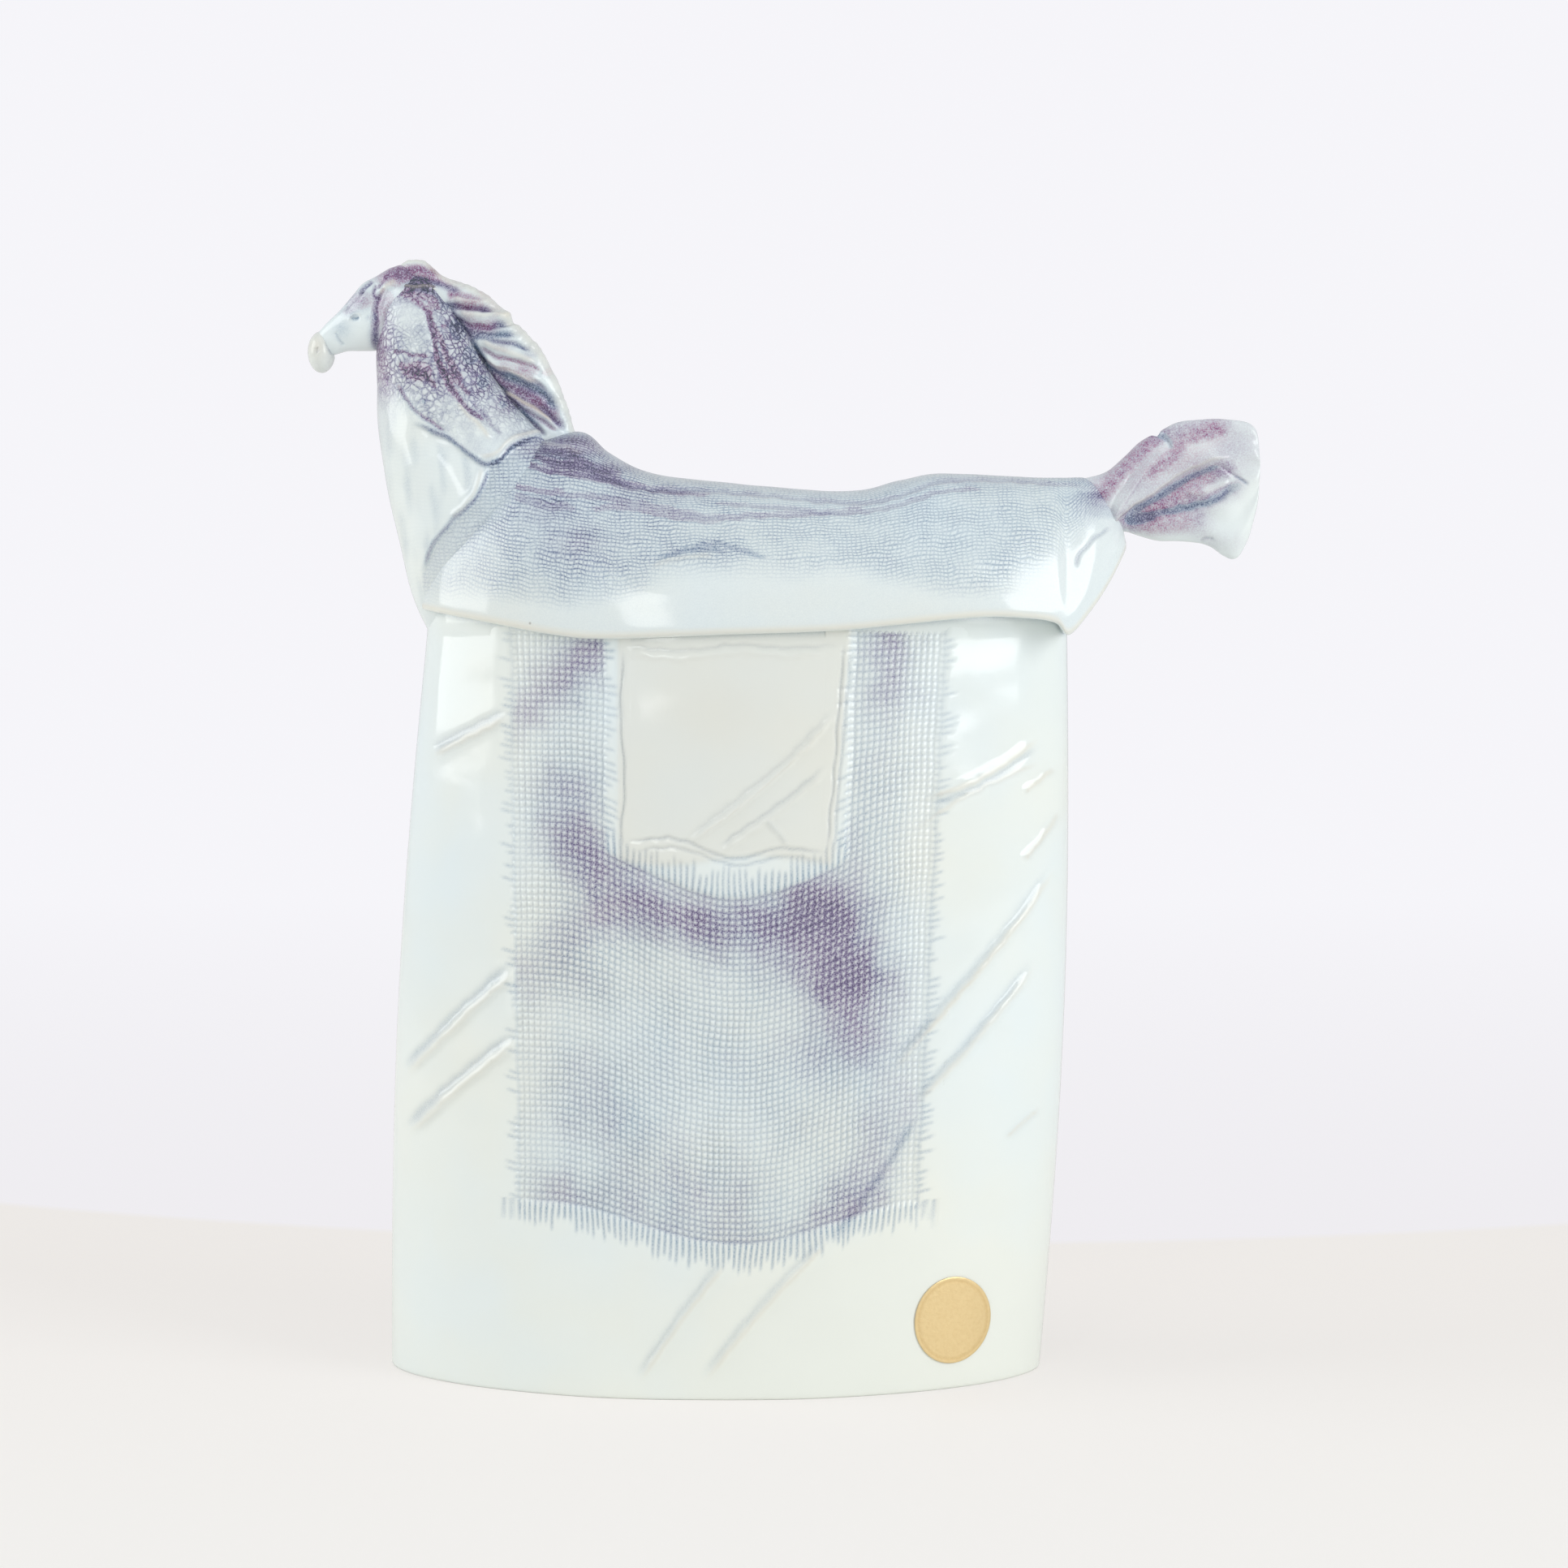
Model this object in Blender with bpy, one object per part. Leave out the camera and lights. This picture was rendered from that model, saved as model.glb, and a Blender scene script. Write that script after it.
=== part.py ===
"""Ceramic horse figurine: a tall hollow slab-built body with a cloth print, an overhanging
trunk that laps over it like a blanket, a neck with a small drooping head and a pleated mane,
and a fanned tail.  All lengths below are in millimetres.

Frame: X runs from the head (-) to the tail (+), Y runs away from the viewer, Z is up, and the
origin is the middle of the foot, on the surface that the figurine stands on.
"""
import math

import bmesh
import bpy
import numpy as np

MM = 0.001

# Lower body: a standing slab with a pointed oval plan
FOOT_WIDTH = 203.0
FOOT_DEPTH = 100.0
SHOULDER_WIDTH = 198.0
SHOULDER_DEPTH = 84.0
BODY_BELLY = 3.5            # how far each side swells at half height
BODY_LEAN = 10.0            # how far the top stands towards the tail
EDGE_POWER = 0.58           # 0.5 is an ellipse, more makes the two side edges sharper
BODY_COLUMNS = 40
BODY_ROWS = 40
HOLLOW_COLUMNS = 16
HOLLOW_ROWS = 8

# Trunk: the upper slab, whose rim laps over the lower body
RIM_HEIGHT = 228.0          # lowest part of the rim, at the front
RIM_LAP = 10.0              # how far the lower body reaches up inside the trunk
RIM_OVERHANG = 3.4
RIM_ROUND = 1.6
CHEST_REACH = 2.0           # how far the chest end passes the lower body's edge
RUMP_REACH = 18.0           # how far the rump passes the lower body's edge
TRUNK_RISE = 45.0           # rim to the hollow of the back
TRUNK_STATIONS = 44
TRUNK_STEPS = 19            # points over the dome, near rim to far rim
TRUNK_HOLLOW_STATIONS = 14
TRUNK_HOLLOW_STEPS = 13

# Neck and mane
NECK_WIDTH = 62.0
NECK_HEIGHT = 107.0
NECK_DEPTH = 43.0
NECK_STATIONS = 22
NECK_COLUMNS = 12
MANE_DEPTH = 13.0
MANE_PLEATS = 13
MANE_COLUMNS = 7
PLEAT_HEIGHT = 1.1

# Head
HEAD_LENGTH = 21.0          # throat to the tip of the muzzle
HEAD_HEIGHT = 28.0          # jaw to the top of the poll
HEAD_DEPTH = 17.0
HEAD_STATIONS = 18
HEAD_COLUMNS = 8
MUZZLE_HEIGHT = 12.8
MUZZLE_LENGTH = 8.4
MUZZLE_DEPTH = 12.0
MUZZLE_RINGS = 9
MUZZLE_COLUMNS = 6

# Tail
TAIL_LENGTH = 52.7
TAIL_HEIGHT = 43.0
TAIL_DEPTH = 14.0
TAIL_STATIONS = 24
TAIL_COLUMNS = 16
TAIL_FOLD = 1.2

# Cloth print, window and creases on the front
PANEL_WIDTH = 126.0
PANEL_BOTTOM = 58.0
PANEL_SAG = 11.0             # how far its lower edge hangs in the middle
PANEL_PRESS = 0.8           # how deep the cloth was pressed in
WINDOW_WIDTH = 63.0
WINDOW_BOTTOM = 163.0
WINDOW_RELIEF = 1.6         # how far the plain window stands out of the print
CREASE_RELIEF = 1.5
CREASE_WIDTH = 3.0

# Hollow inside
WALL = 6.5
FLOOR = 7.0
VENT_DIAMETER = 12.0
VENT_COLUMNS = 24
VENT_FROM_MIDDLE = 45.0

# Round foil label on the front, low at the tail end
LABEL_DIAMETER = 26.5
LABEL_COLUMNS = 40
LABEL_THICKNESS = 0.25
LABEL_GAP = 0.3
LABEL_HEIGHT = 21.3         # height of its middle
LABEL_FROM_MIDDLE = 73.6

# Outlines, each point as shares of the piece's own length and height
RIM_LINE = [(0, 0.19), (0.1, 0.11), (0.21, 0.02), (0.28, 0), (0.44, 0.03), (0.6, 0.06), (0.775, 0.14),
            (0.853, 0.155), (0.899, 0.1), (0.927, -0.02), (0.954, 0.09), (0.972, 0.25), (1, 0.56)]
BACK_LINE = [(0, 0.4), (0.028, 0.76), (0.073, 1.04), (0.142, 1.27), (0.225, 1.395), (0.268, 1.262),
             (0.314, 1.147), (0.372, 1.084), (0.5, 1.013), (0.615, 0.985), (0.68, 1.05), (0.75, 1.105),
             (0.9, 1.085), (0.95, 1.06), (0.985, 0.85), (1, 0.64)]
NECK_FRONT = [(0.08, -0.117), (-0.024, 0.014), (-0.12, 0.23), (-0.198, 0.5), (-0.21, 0.65),
              (-0.21, 0.743), (-0.19, 0.85), (-0.113, 0.93), (0, 0.963)]
NECK_REAR = [(0.98, 0.17), (0.758, 0.416), (0.613, 0.509), (0.5, 0.579), (0.403, 0.654),
             (0.306, 0.743), (0.21, 0.836), (0.129, 0.907), (0.065, 0.951), (0, 0.963)]
MANE_OUTER = [(-0.129, 0.953), (-0.065, 0.995), (0.016, 1), (0.08, 0.979), (0.145, 0.951),
              (0.339, 0.902), (0.461, 0.836), (0.54, 0.794), (0.613, 0.736), (0.685, 0.657),
              (0.739, 0.579), (0.774, 0.517), (0.823, 0.444), (0.919, 0.332)]
MANE_INNER = [(-0.097, 0.883), (0.032, 0.874), (0.113, 0.8), (0.194, 0.715), (0.29, 0.631),
              (0.403, 0.547), (0.516, 0.472), (0.629, 0.407), (0.726, 0.332)]
NOSE_LINE = [(-0.667, 0.8), (-0.43, 0.93), (-0.248, 0.911), (-0.138, 0.871), (0.005, 0.807),
             (0.186, 0.736), (0.329, 0.614), (0.524, 0.446), (0.738, 0.293), (0.857, 0.179), (0.88, 0.07)]
JAW_LINE = [(-0.667, 0.16), (-0.286, 0.036), (0, 0), (0.238, -0.004), (0.433, -0.007),
            (0.61, -0.043), (0.738, -0.046), (0.848, 0), (0.88, 0.07)]
MUZZLE_AT = (0.81, -0.015)
TAIL_UPPER = [(-0.32, -0.2), (-0.133, -0.047), (0, 0.007), (0.118, 0.053), (0.213, 0.156),
              (0.306, 0.256), (0.4, 0.33), (0.541, 0.4), (0.708, 0.419), (0.873, 0.412),
              (0.96, 0.365), (0.992, 0.256), (1, 0.058)]
TAIL_LOWER = [(-0.36, -0.57), (-0.095, -0.477), (0.095, -0.393), (0.211, -0.381), (0.304, -0.416),
              (0.429, -0.451), (0.619, -0.46), (0.712, -0.491), (0.789, -0.553), (0.856, -0.579),
              (0.907, -0.526), (0.962, -0.353), (0.992, -0.151), (1, 0.058)]

# Where each piece starts on the trunk, as shares of the trunk's length and rise
NECK_FOOT = (0, 0.19)
THROAT = (-0.21, 0.74)      # on the neck, as shares of its width and height
TAIL_ROOT = (0.945, 1.078)

# The two edges of a slab meet at its tip, and its last section lies just before that
TIP_SHARE = 0.985

# Half depth along each piece: (share of its length, share of its full half depth)
NECK_THICKNESS = [(0, 0.65), (0.12, 0.88), (0.28, 1), (0.45, 0.95), (0.6, 0.8), (0.75, 0.65),
                  (0.88, 0.5), (0.96, 0.3), (1, 0.05)]
MANE_THICKNESS = [(0, 0.5), (0.1, 0.85), (0.5, 1), (0.85, 0.95), (1, 0.6)]
HEAD_THICKNESS = [(0, 1), (0.35, 1), (0.5, 0.85), (0.75, 0.6), (0.92, 0.45), (1, 0.1)]
TAIL_THICKNESS = [(0, 1), (0.3, 1), (0.5, 0.8), (0.8, 0.65), (0.95, 0.5), (1, 0.12)]

# Creases of the front: two ends, each as shares of the half width and of the rim height
CREASES = [((-0.93, 0.84), (-0.70, 0.89)), ((-0.95, 0.41), (-0.62, 0.56)),
           ((-0.93, 0.33), (-0.60, 0.47)), ((0.56, 0.79), (0.90, 0.865)),
           ((0.86, 0.795), (0.95, 0.825)), ((0.49, 0.43), (0.96, 0.69)),
           ((0.56, 0.386), (0.90, 0.56)), ((0.84, 0.333), (0.93, 0.366)),
           ((0.03, 0.183), (-0.20, 0.026)), ((0.57, 0.343), (-0.01, 0.028)),
           ((-0.13, 0.73), (0.29, 0.90)), ((-0.03, 0.72), (0.27, 0.83))]


def smooth_curve(points, count, last=1.0):
    """A Catmull-Rom curve through the points, read at count even steps of its length up to
    the share last of it."""
    p = np.asarray(points, float)
    p = np.vstack([2 * p[0] - p[1], p, 2 * p[-1] - p[-2]])
    t = np.linspace(0, 1, 16, endpoint=False)[:, None]
    runs = []
    for a, b, c, d in zip(p[:-3], p[1:-2], p[2:-1], p[3:]):
        slope, bend, twist = (c - a) / 2, a - 2.5 * b + 2 * c - d / 2, 1.5 * (b - c) + (d - a) / 2
        runs.append(b + t * (slope + t * (bend + t * twist)))
    fine = np.vstack(runs + [p[-2:-1]])
    length = np.concatenate([[0], np.cumsum(np.linalg.norm(np.diff(fine, axis=0), axis=1))])
    at = np.linspace(0, length[-1] * last, count)
    return np.column_stack([np.interp(at, length, fine[:, k]) for k in range(p.shape[1])])


def edge_curve(points, corner, width, height, count):
    """A slab's edge: the outline's shares scaled to the piece and set at its corner."""
    scaled = np.asarray(points, float) * (width, height)
    return np.asarray(corner) + smooth_curve(scaled, count, TIP_SHARE)


def read_along(pairs, count):
    """Values given at shares of a length, read at count even steps."""
    table = np.asarray(pairs, float)
    return np.interp(np.linspace(0, 1, count), table[:, 0], table[:, 1])


def step(value, low, high):
    """Rises smoothly from 0 at low to 1 at high."""
    t = np.clip((value - low) / (high - low), 0, 1)
    return t * t * (3 - 2 * t)


def mesh_object(name, rings):
    """A closed tube of faces through the rings, with a cap on each end."""
    bm = bmesh.new()
    rows = [[bm.verts.new(co * MM) for co in ring] for ring in rings]
    for low, high in zip(rows[:-1], rows[1:]):
        for k in range(len(low)):
            n = (k + 1) % len(low)
            bm.faces.new((low[k], low[n], high[n], high[k]))
    bm.faces.new(rows[0])
    bm.faces.new(rows[-1])
    bmesh.ops.recalc_face_normals(bm, faces=bm.faces)
    mesh = bpy.data.meshes.new(name)
    bm.to_mesh(mesh)
    bm.free()
    obj = bpy.data.objects.new(name, mesh)
    bpy.context.collection.objects.link(obj)
    return obj


def combine(target, solid, operation):
    """Joins a helper solid to the target, or cuts it away.  The helper itself isn't a piece."""
    solid.hide_render = True
    solid.display_type = "WIRE"
    boolean = target.modifiers.new(solid.name, "BOOLEAN")
    boolean.operation = operation
    boolean.solver = "EXACT"
    boolean.object = solid


def oval_turn(front, back):
    """Angles round a section: front steps along the near side and back steps along the far
    one, spread so that the columns are close to even across the width."""
    near = np.linspace(0, 1, front, endpoint=False)
    far = np.linspace(1, 2, back, endpoint=False)
    s = np.concatenate([near, far])
    return math.pi * s + 0.18 * np.sin(2 * math.pi * s)


def slab(edge_a, edge_b, half_depth, turn, power=0.5):
    """Rings of a slab between two edge curves.  Across the slab the half depth goes as
    sin(turn) ** (2 * power), so it closes at both edges."""
    across = (1 - np.cos(turn)) / 2
    out = -np.sign(np.sin(turn)) * np.abs(np.sin(turn)) ** (2 * power)
    span = edge_b - edge_a
    x = edge_a[:, :1] + span[:, :1] * across
    z = edge_a[:, 1:] + span[:, 1:] * across
    y = half_depth[:, None] * out
    return np.stack([x, y, z], axis=-1)


def body_middle(z):
    """X of the lower body's middle at height z."""
    return BODY_LEAN * z / RIM_HEIGHT


def body_half_width(z):
    """Half width of the lower body at height z: straight from foot to shoulder, plus a belly."""
    up = z / RIM_HEIGHT
    belly = BODY_BELLY * np.sin(math.pi * np.clip(up, 0, 1))
    return (FOOT_WIDTH + (SHOULDER_WIDTH - FOOT_WIDTH) * up) / 2 + belly


def body_half_depth(z):
    """Half depth of the lower body at height z."""
    return (FOOT_DEPTH + (SHOULDER_DEPTH - FOOT_DEPTH) * z / RIM_HEIGHT) / 2


def body_front(x, z):
    """Distance of the plain front surface from the middle plane."""
    t = (x - body_middle(z)) / body_half_width(z)
    return body_half_depth(z) * np.clip(1 - t * t, 0, 1) ** EDGE_POWER


def front_point(share, up):
    """X and Z at a share of the half width from the middle and a share of the rim height."""
    z = up * RIM_HEIGHT
    return body_middle(z) + share * body_half_width(z), z


def crease(x, z, start, end):
    """Relief of one crease: a rounded ridge from start to end that fades out at both."""
    run = np.subtract(end, start)
    length = math.hypot(*run)
    along = ((x - start[0]) * run[0] + (z - start[1]) * run[1]) / length
    off = ((x - start[0]) * run[1] - (z - start[1]) * run[0]) / length
    fade = step(along, 0, length / 5) * step(length - along, 0, length / 3)
    return CREASE_RELIEF * fade * np.exp(-(off / CREASE_WIDTH) ** 2)


def front_relief(x, z):
    """Relief of the front: the cloth print, the plain window in it and the creases."""
    from_middle = np.abs(x - body_middle(z) / 2)
    half = PANEL_WIDTH / 2
    sag = PANEL_SAG * (1 - (from_middle / half) ** 2)
    panel = step(half - from_middle, 0, CREASE_WIDTH) * step(z - PANEL_BOTTOM + sag, 0, CREASE_WIDTH)
    half = WINDOW_WIDTH / 2
    window = step(half - from_middle, 0, CREASE_WIDTH) * step(z - WINDOW_BOTTOM, 0, CREASE_WIDTH)
    relief = WINDOW_RELIEF * window - PANEL_PRESS * panel
    for start, end in CREASES:
        relief = relief + crease(x, z, front_point(*start), front_point(*end))
    return relief


def lower_body_rings():
    """The lower body, foot to top, with the relief on its near side."""
    turn = oval_turn(BODY_COLUMNS, BODY_COLUMNS // 2)
    z = np.linspace(0, RIM_HEIGHT + RIM_LAP, BODY_ROWS)
    left = np.column_stack([body_middle(z) - body_half_width(z), z])
    right = np.column_stack([body_middle(z) + body_half_width(z), z])
    rings = slab(left, right, body_half_depth(z), turn, EDGE_POWER)
    x, y, z = rings[..., 0], rings[..., 1], rings[..., 2]
    below_rim = step(RIM_HEIGHT + RIM_LAP / 2 - z, 0, RIM_LAP / 2)
    inside_edges = step(body_front(x, z), 0, FOOT_DEPTH / 5)
    rings[..., 1] -= np.where(y < 0, front_relief(x, z) * below_rim * inside_edges, 0)
    return rings


def body_hollow_rings():
    """The hollow of the lower body: the body drawn in by the wall, from the floor up."""
    turn = oval_turn(HOLLOW_COLUMNS, HOLLOW_COLUMNS)
    z = np.linspace(FLOOR, RIM_HEIGHT + RIM_LAP, HOLLOW_ROWS)
    reach = body_half_width(z) - 2 * WALL
    left = np.column_stack([body_middle(z) - reach, z])
    right = np.column_stack([body_middle(z) + reach, z])
    return slab(left, right, body_half_depth(z) - WALL, turn, EDGE_POWER)


def trunk_end(side):
    """X of the trunk's chest end (side -1) or rump end (side +1)."""
    reach = RUMP_REACH if side > 0 else CHEST_REACH
    return body_middle(RIM_HEIGHT) + side * (SHOULDER_WIDTH / 2 + reach)


def trunk_point(share, up):
    """X and Z at a share of the trunk's length and a share of its rise above the rim."""
    return (trunk_end(-1) + share * (trunk_end(1) - trunk_end(-1)), RIM_HEIGHT + up * TRUNK_RISE)


def trunk_sections(shares):
    """X, rim height, back height and half depth of the trunk at shares of its length."""
    rim = smooth_curve(RIM_LINE, 400)
    back = smooth_curve(BACK_LINE, 400)
    x, low = trunk_point(shares, np.interp(shares, rim[:, 0], rim[:, 1]))
    x, high = trunk_point(shares, np.interp(shares, back[:, 0], back[:, 1]))
    plan = np.clip(1 - np.abs(2 * shares - 1) ** 2.3, 0, 1) ** 0.52
    return x, low, high, plan * (SHOULDER_DEPTH / 2 + RIM_OVERHANG)


def dome_rings(x, low, high, half, steps, tuck):
    """Rings across the trunk: a dome from the near rim over the back to the far rim, then a
    flat underside.  The rim is rounded by tuck."""
    turn = np.linspace(0, math.pi, steps)
    across = -np.cos(turn) * (1 - 0.12 * np.sin(2 * turn) ** 2)
    up = np.sin(turn) ** 0.85
    start = np.minimum(tuck, (high - low) / 3)[:, None]
    y = half[:, None] * across
    z = low[:, None] + start + (high - low)[:, None] * up - start * up
    inner = half - np.minimum(tuck, half / 3)
    y = np.column_stack([y, inner, 0 * inner, -inner])
    z = np.column_stack([z, low, low, low])
    return np.stack([np.broadcast_to(x[:, None], y.shape), y, z], axis=-1)


def trunk_rings():
    """The trunk from the chest end to the rump end."""
    s = np.linspace(0, 1, TRUNK_STATIONS)
    s = 0.5 * s + 0.5 * (1 - np.cos(math.pi * s)) / 2
    s = np.clip(s, 0.002, 0.998)
    return dome_rings(*trunk_sections(s), TRUNK_STEPS, RIM_ROUND)


def trunk_hollow_rings():
    """The hollow of the trunk: the dome drawn in by the wall, open below into the body."""
    s = np.linspace(0.09, 0.9, TRUNK_HOLLOW_STATIONS)
    x, low, high, half = trunk_sections(s)
    closing = np.sqrt(np.clip(np.minimum(s - s[0], s[-1] - s) / 0.08, 0.15, 1))
    roof = low + WALL + (high - 2 * WALL - low) * closing
    half = (half - 1.6 * WALL) * closing
    return dome_rings(x, low + WALL / 2, roof, half, TRUNK_HOLLOW_STEPS, WALL / 4)


def neck_corner():
    """Where the neck's outline is measured from: the rim at the chest end."""
    return np.array(trunk_point(*NECK_FOOT))


def neck_rings():
    """The neck from inside the trunk up to the poll."""
    front = edge_curve(NECK_FRONT, neck_corner(), NECK_WIDTH, NECK_HEIGHT, NECK_STATIONS)
    rear = edge_curve(NECK_REAR, neck_corner(), NECK_WIDTH, NECK_HEIGHT, NECK_STATIONS)
    half = read_along(NECK_THICKNESS, NECK_STATIONS) * NECK_DEPTH / 2
    return slab(front, rear, half, oval_turn(NECK_COLUMNS, NECK_COLUMNS), 0.5)


def mane_rings():
    """The mane: a thin slab along the back of the neck, pleated across its length.  The pleats
    grow towards the free edge and stand out of both faces."""
    count = 4 * MANE_PLEATS + 1
    inner = edge_curve(MANE_INNER, neck_corner(), NECK_WIDTH, NECK_HEIGHT, count)
    outer = edge_curve(MANE_OUTER, neck_corner(), NECK_WIDTH, NECK_HEIGHT, count)
    half = read_along(MANE_THICKNESS, count) * MANE_DEPTH / 2
    turn = oval_turn(MANE_COLUMNS, MANE_COLUMNS)
    pleat = np.cos(np.linspace(0, 2 * math.pi * MANE_PLEATS, count))
    outer = outer + 0.4 * PLEAT_HEIGHT * pleat[:, None] * (outer - inner) / NECK_WIDTH * 4
    rings = slab(inner, outer, half, turn, 0.4)
    across = (1 - np.cos(turn)) / 2
    rings[..., 1] += PLEAT_HEIGHT * pleat[:, None] * across * np.sign(-np.sin(turn))
    return rings


def head_rings():
    """The head from inside the neck down to the muzzle.  X runs the other way here, so the
    outline's length is taken as negative."""
    throat = neck_corner() + np.multiply(THROAT, (NECK_WIDTH, NECK_HEIGHT))
    nose = edge_curve(NOSE_LINE, throat, -HEAD_LENGTH, HEAD_HEIGHT, HEAD_STATIONS)
    jaw = edge_curve(JAW_LINE, throat, -HEAD_LENGTH, HEAD_HEIGHT, HEAD_STATIONS)
    half = read_along(HEAD_THICKNESS, HEAD_STATIONS) * HEAD_DEPTH / 2
    return slab(nose, jaw, half, oval_turn(HEAD_COLUMNS, HEAD_COLUMNS), 0.42)


def muzzle_rings():
    """The drooping muzzle pad: an egg, ring by ring from top to bottom."""
    throat = neck_corner() + np.multiply(THROAT, (NECK_WIDTH, NECK_HEIGHT))
    middle = throat + np.multiply(MUZZLE_AT, (-HEAD_LENGTH, HEAD_HEIGHT))
    up = np.cos(np.linspace(0.12, math.pi - 0.12, MUZZLE_RINGS))
    round_off = np.sqrt(1 - up * up)
    z = middle[1] + up * MUZZLE_HEIGHT / 2
    left = np.column_stack([middle[0] - round_off * MUZZLE_LENGTH / 2, z])
    right = np.column_stack([middle[0] + round_off * MUZZLE_LENGTH / 2, z])
    return slab(left, right, round_off * MUZZLE_DEPTH / 2, oval_turn(MUZZLE_COLUMNS, MUZZLE_COLUMNS), 0.5)


def tail_rings():
    """The tail: a fan whose folds run out from the root and grow towards the tip."""
    count = TAIL_STATIONS
    root = np.array(trunk_point(*TAIL_ROOT))
    upper = edge_curve(TAIL_UPPER, root, TAIL_LENGTH, TAIL_HEIGHT, count)
    lower = edge_curve(TAIL_LOWER, root, TAIL_LENGTH, TAIL_HEIGHT, count)
    half = read_along(TAIL_THICKNESS, count) * TAIL_DEPTH / 2
    turn = oval_turn(TAIL_COLUMNS, TAIL_COLUMNS)
    rings = slab(upper, lower, half, turn, 0.4)
    across = (1 - np.cos(turn)) / 2
    grow = step(np.linspace(0, 1, count), 0.2, 0.7) * (1 - step(np.linspace(0, 1, count), 0.85, 1))
    fold = np.cos(2 * math.pi * 3.4 * across) * np.sin(turn)
    rings[..., 1] -= TAIL_FOLD * grow[:, None] * fold
    return rings


def vent_rings():
    """The vent hole through the floor."""
    turn = np.linspace(0, 2 * math.pi, VENT_COLUMNS, endpoint=False)
    x = VENT_FROM_MIDDLE + VENT_DIAMETER / 2 * np.cos(turn)
    y = VENT_DIAMETER / 2 * np.sin(turn)
    return np.array([np.column_stack([x, y, np.full(VENT_COLUMNS, z)]) for z in (-FLOOR, 2 * FLOOR)])


def label_rings():
    """The foil label: a disc bent to the front surface, ring by ring from its back's middle
    out to the rim and in again over its face."""
    slope = (body_front(LABEL_FROM_MIDDLE + 1, LABEL_HEIGHT) - body_front(LABEL_FROM_MIDDLE - 1, LABEL_HEIGHT)) / 2
    lean = 1 / math.hypot(1, slope)
    turn = np.linspace(0, 2 * math.pi, LABEL_COLUMNS, endpoint=False)
    rings = []
    for radius, lift in ((0.02, 0), (0.5, 0), (1, 0), (1, 1), (0.5, 1), (0.02, 1)):
        x = LABEL_FROM_MIDDLE + radius * LABEL_DIAMETER / 2 * np.cos(turn) * lean
        z = LABEL_HEIGHT + radius * LABEL_DIAMETER / 2 * np.sin(turn)
        out = body_front(x, z) + (LABEL_GAP + lift * LABEL_THICKNESS) / lean
        rings.append(np.column_stack([x, -out, z]))
    return np.array(rings)


def finish(name, color, roughness, metallic):
    """A plain material with the piece's colour and shine."""
    material = bpy.data.materials.new(name)
    material.use_nodes = True
    shader = material.node_tree.nodes["Principled BSDF"]
    shader.inputs["Base Color"].default_value = (*color, 1)
    shader.inputs["Roughness"].default_value = roughness
    shader.inputs["Metallic"].default_value = metallic
    return material


def ceramic_body():
    """The figurine itself: the slabs joined, the hollow and the vent cut out."""
    body = mesh_object("ceramic_body", lower_body_rings())
    for name, rings in (("trunk", trunk_rings()), ("neck", neck_rings()), ("mane", mane_rings()),
                        ("head", head_rings()), ("muzzle", muzzle_rings()), ("tail", tail_rings())):
        combine(body, mesh_object(name, rings), "UNION")
    for name, rings in (("body_hollow", body_hollow_rings()), ("trunk_hollow", trunk_hollow_rings()),
                        ("vent", vent_rings())):
        combine(body, mesh_object(name, rings), "DIFFERENCE")
    body.data.materials.append(finish("glaze", (0.80, 0.87, 0.85), 0.12, 0))
    return body


def foil_label():
    """The round foil label, a piece of its own stuck to the glaze."""
    label = mesh_object("foil_label", label_rings())
    label.data.materials.append(finish("gold_foil", (0.80, 0.60, 0.30), 0.35, 0.8))
    return label


def main():
    for obj in list(bpy.data.objects):
        bpy.data.objects.remove(obj)
    ceramic_body()
    foil_label()


main()
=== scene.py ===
# %% [markdown]
# # A glazed ceramic horse, built as a lesson
# The real object is a standing horse made from slabs of clay. Its tall hollow body carries the
# print of a coarse cloth, and trunk, neck, mane and tail are laid on as further slabs. Everything
# is glossy glaze: pale green-white where it lies thin, blue and violet where it gathers in hollows.
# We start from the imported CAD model, which gives the true size and place of every part. All our
# own measures are in millimetres, and they are turned into metres only when a mesh is made.

# %% Load the frame
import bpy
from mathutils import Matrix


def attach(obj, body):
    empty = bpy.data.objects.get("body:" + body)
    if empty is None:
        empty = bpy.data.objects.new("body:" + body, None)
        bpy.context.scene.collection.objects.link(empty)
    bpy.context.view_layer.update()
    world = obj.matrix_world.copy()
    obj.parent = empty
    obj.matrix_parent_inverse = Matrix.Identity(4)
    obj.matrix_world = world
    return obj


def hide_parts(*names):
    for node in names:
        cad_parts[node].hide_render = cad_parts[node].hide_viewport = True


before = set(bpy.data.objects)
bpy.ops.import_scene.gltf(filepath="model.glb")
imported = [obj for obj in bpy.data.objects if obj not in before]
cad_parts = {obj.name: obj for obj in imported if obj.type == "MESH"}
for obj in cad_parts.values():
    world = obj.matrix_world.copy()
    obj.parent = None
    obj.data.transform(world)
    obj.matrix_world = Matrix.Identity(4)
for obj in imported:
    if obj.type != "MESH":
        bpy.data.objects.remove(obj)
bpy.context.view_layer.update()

import math

import bpy
import numpy as np

MM = 0.001

# %% [markdown]
# ## The camera
# A photograph of a product is mostly taken from some way off with a long lens, so that near and
# far parts keep their proportions. The camera stands a little to the right of the middle and a
# little above the horse's back, and looks slightly down. An empty with a Track To constraint
# would aim it too, but plain angles are easier to repeat.

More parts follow.
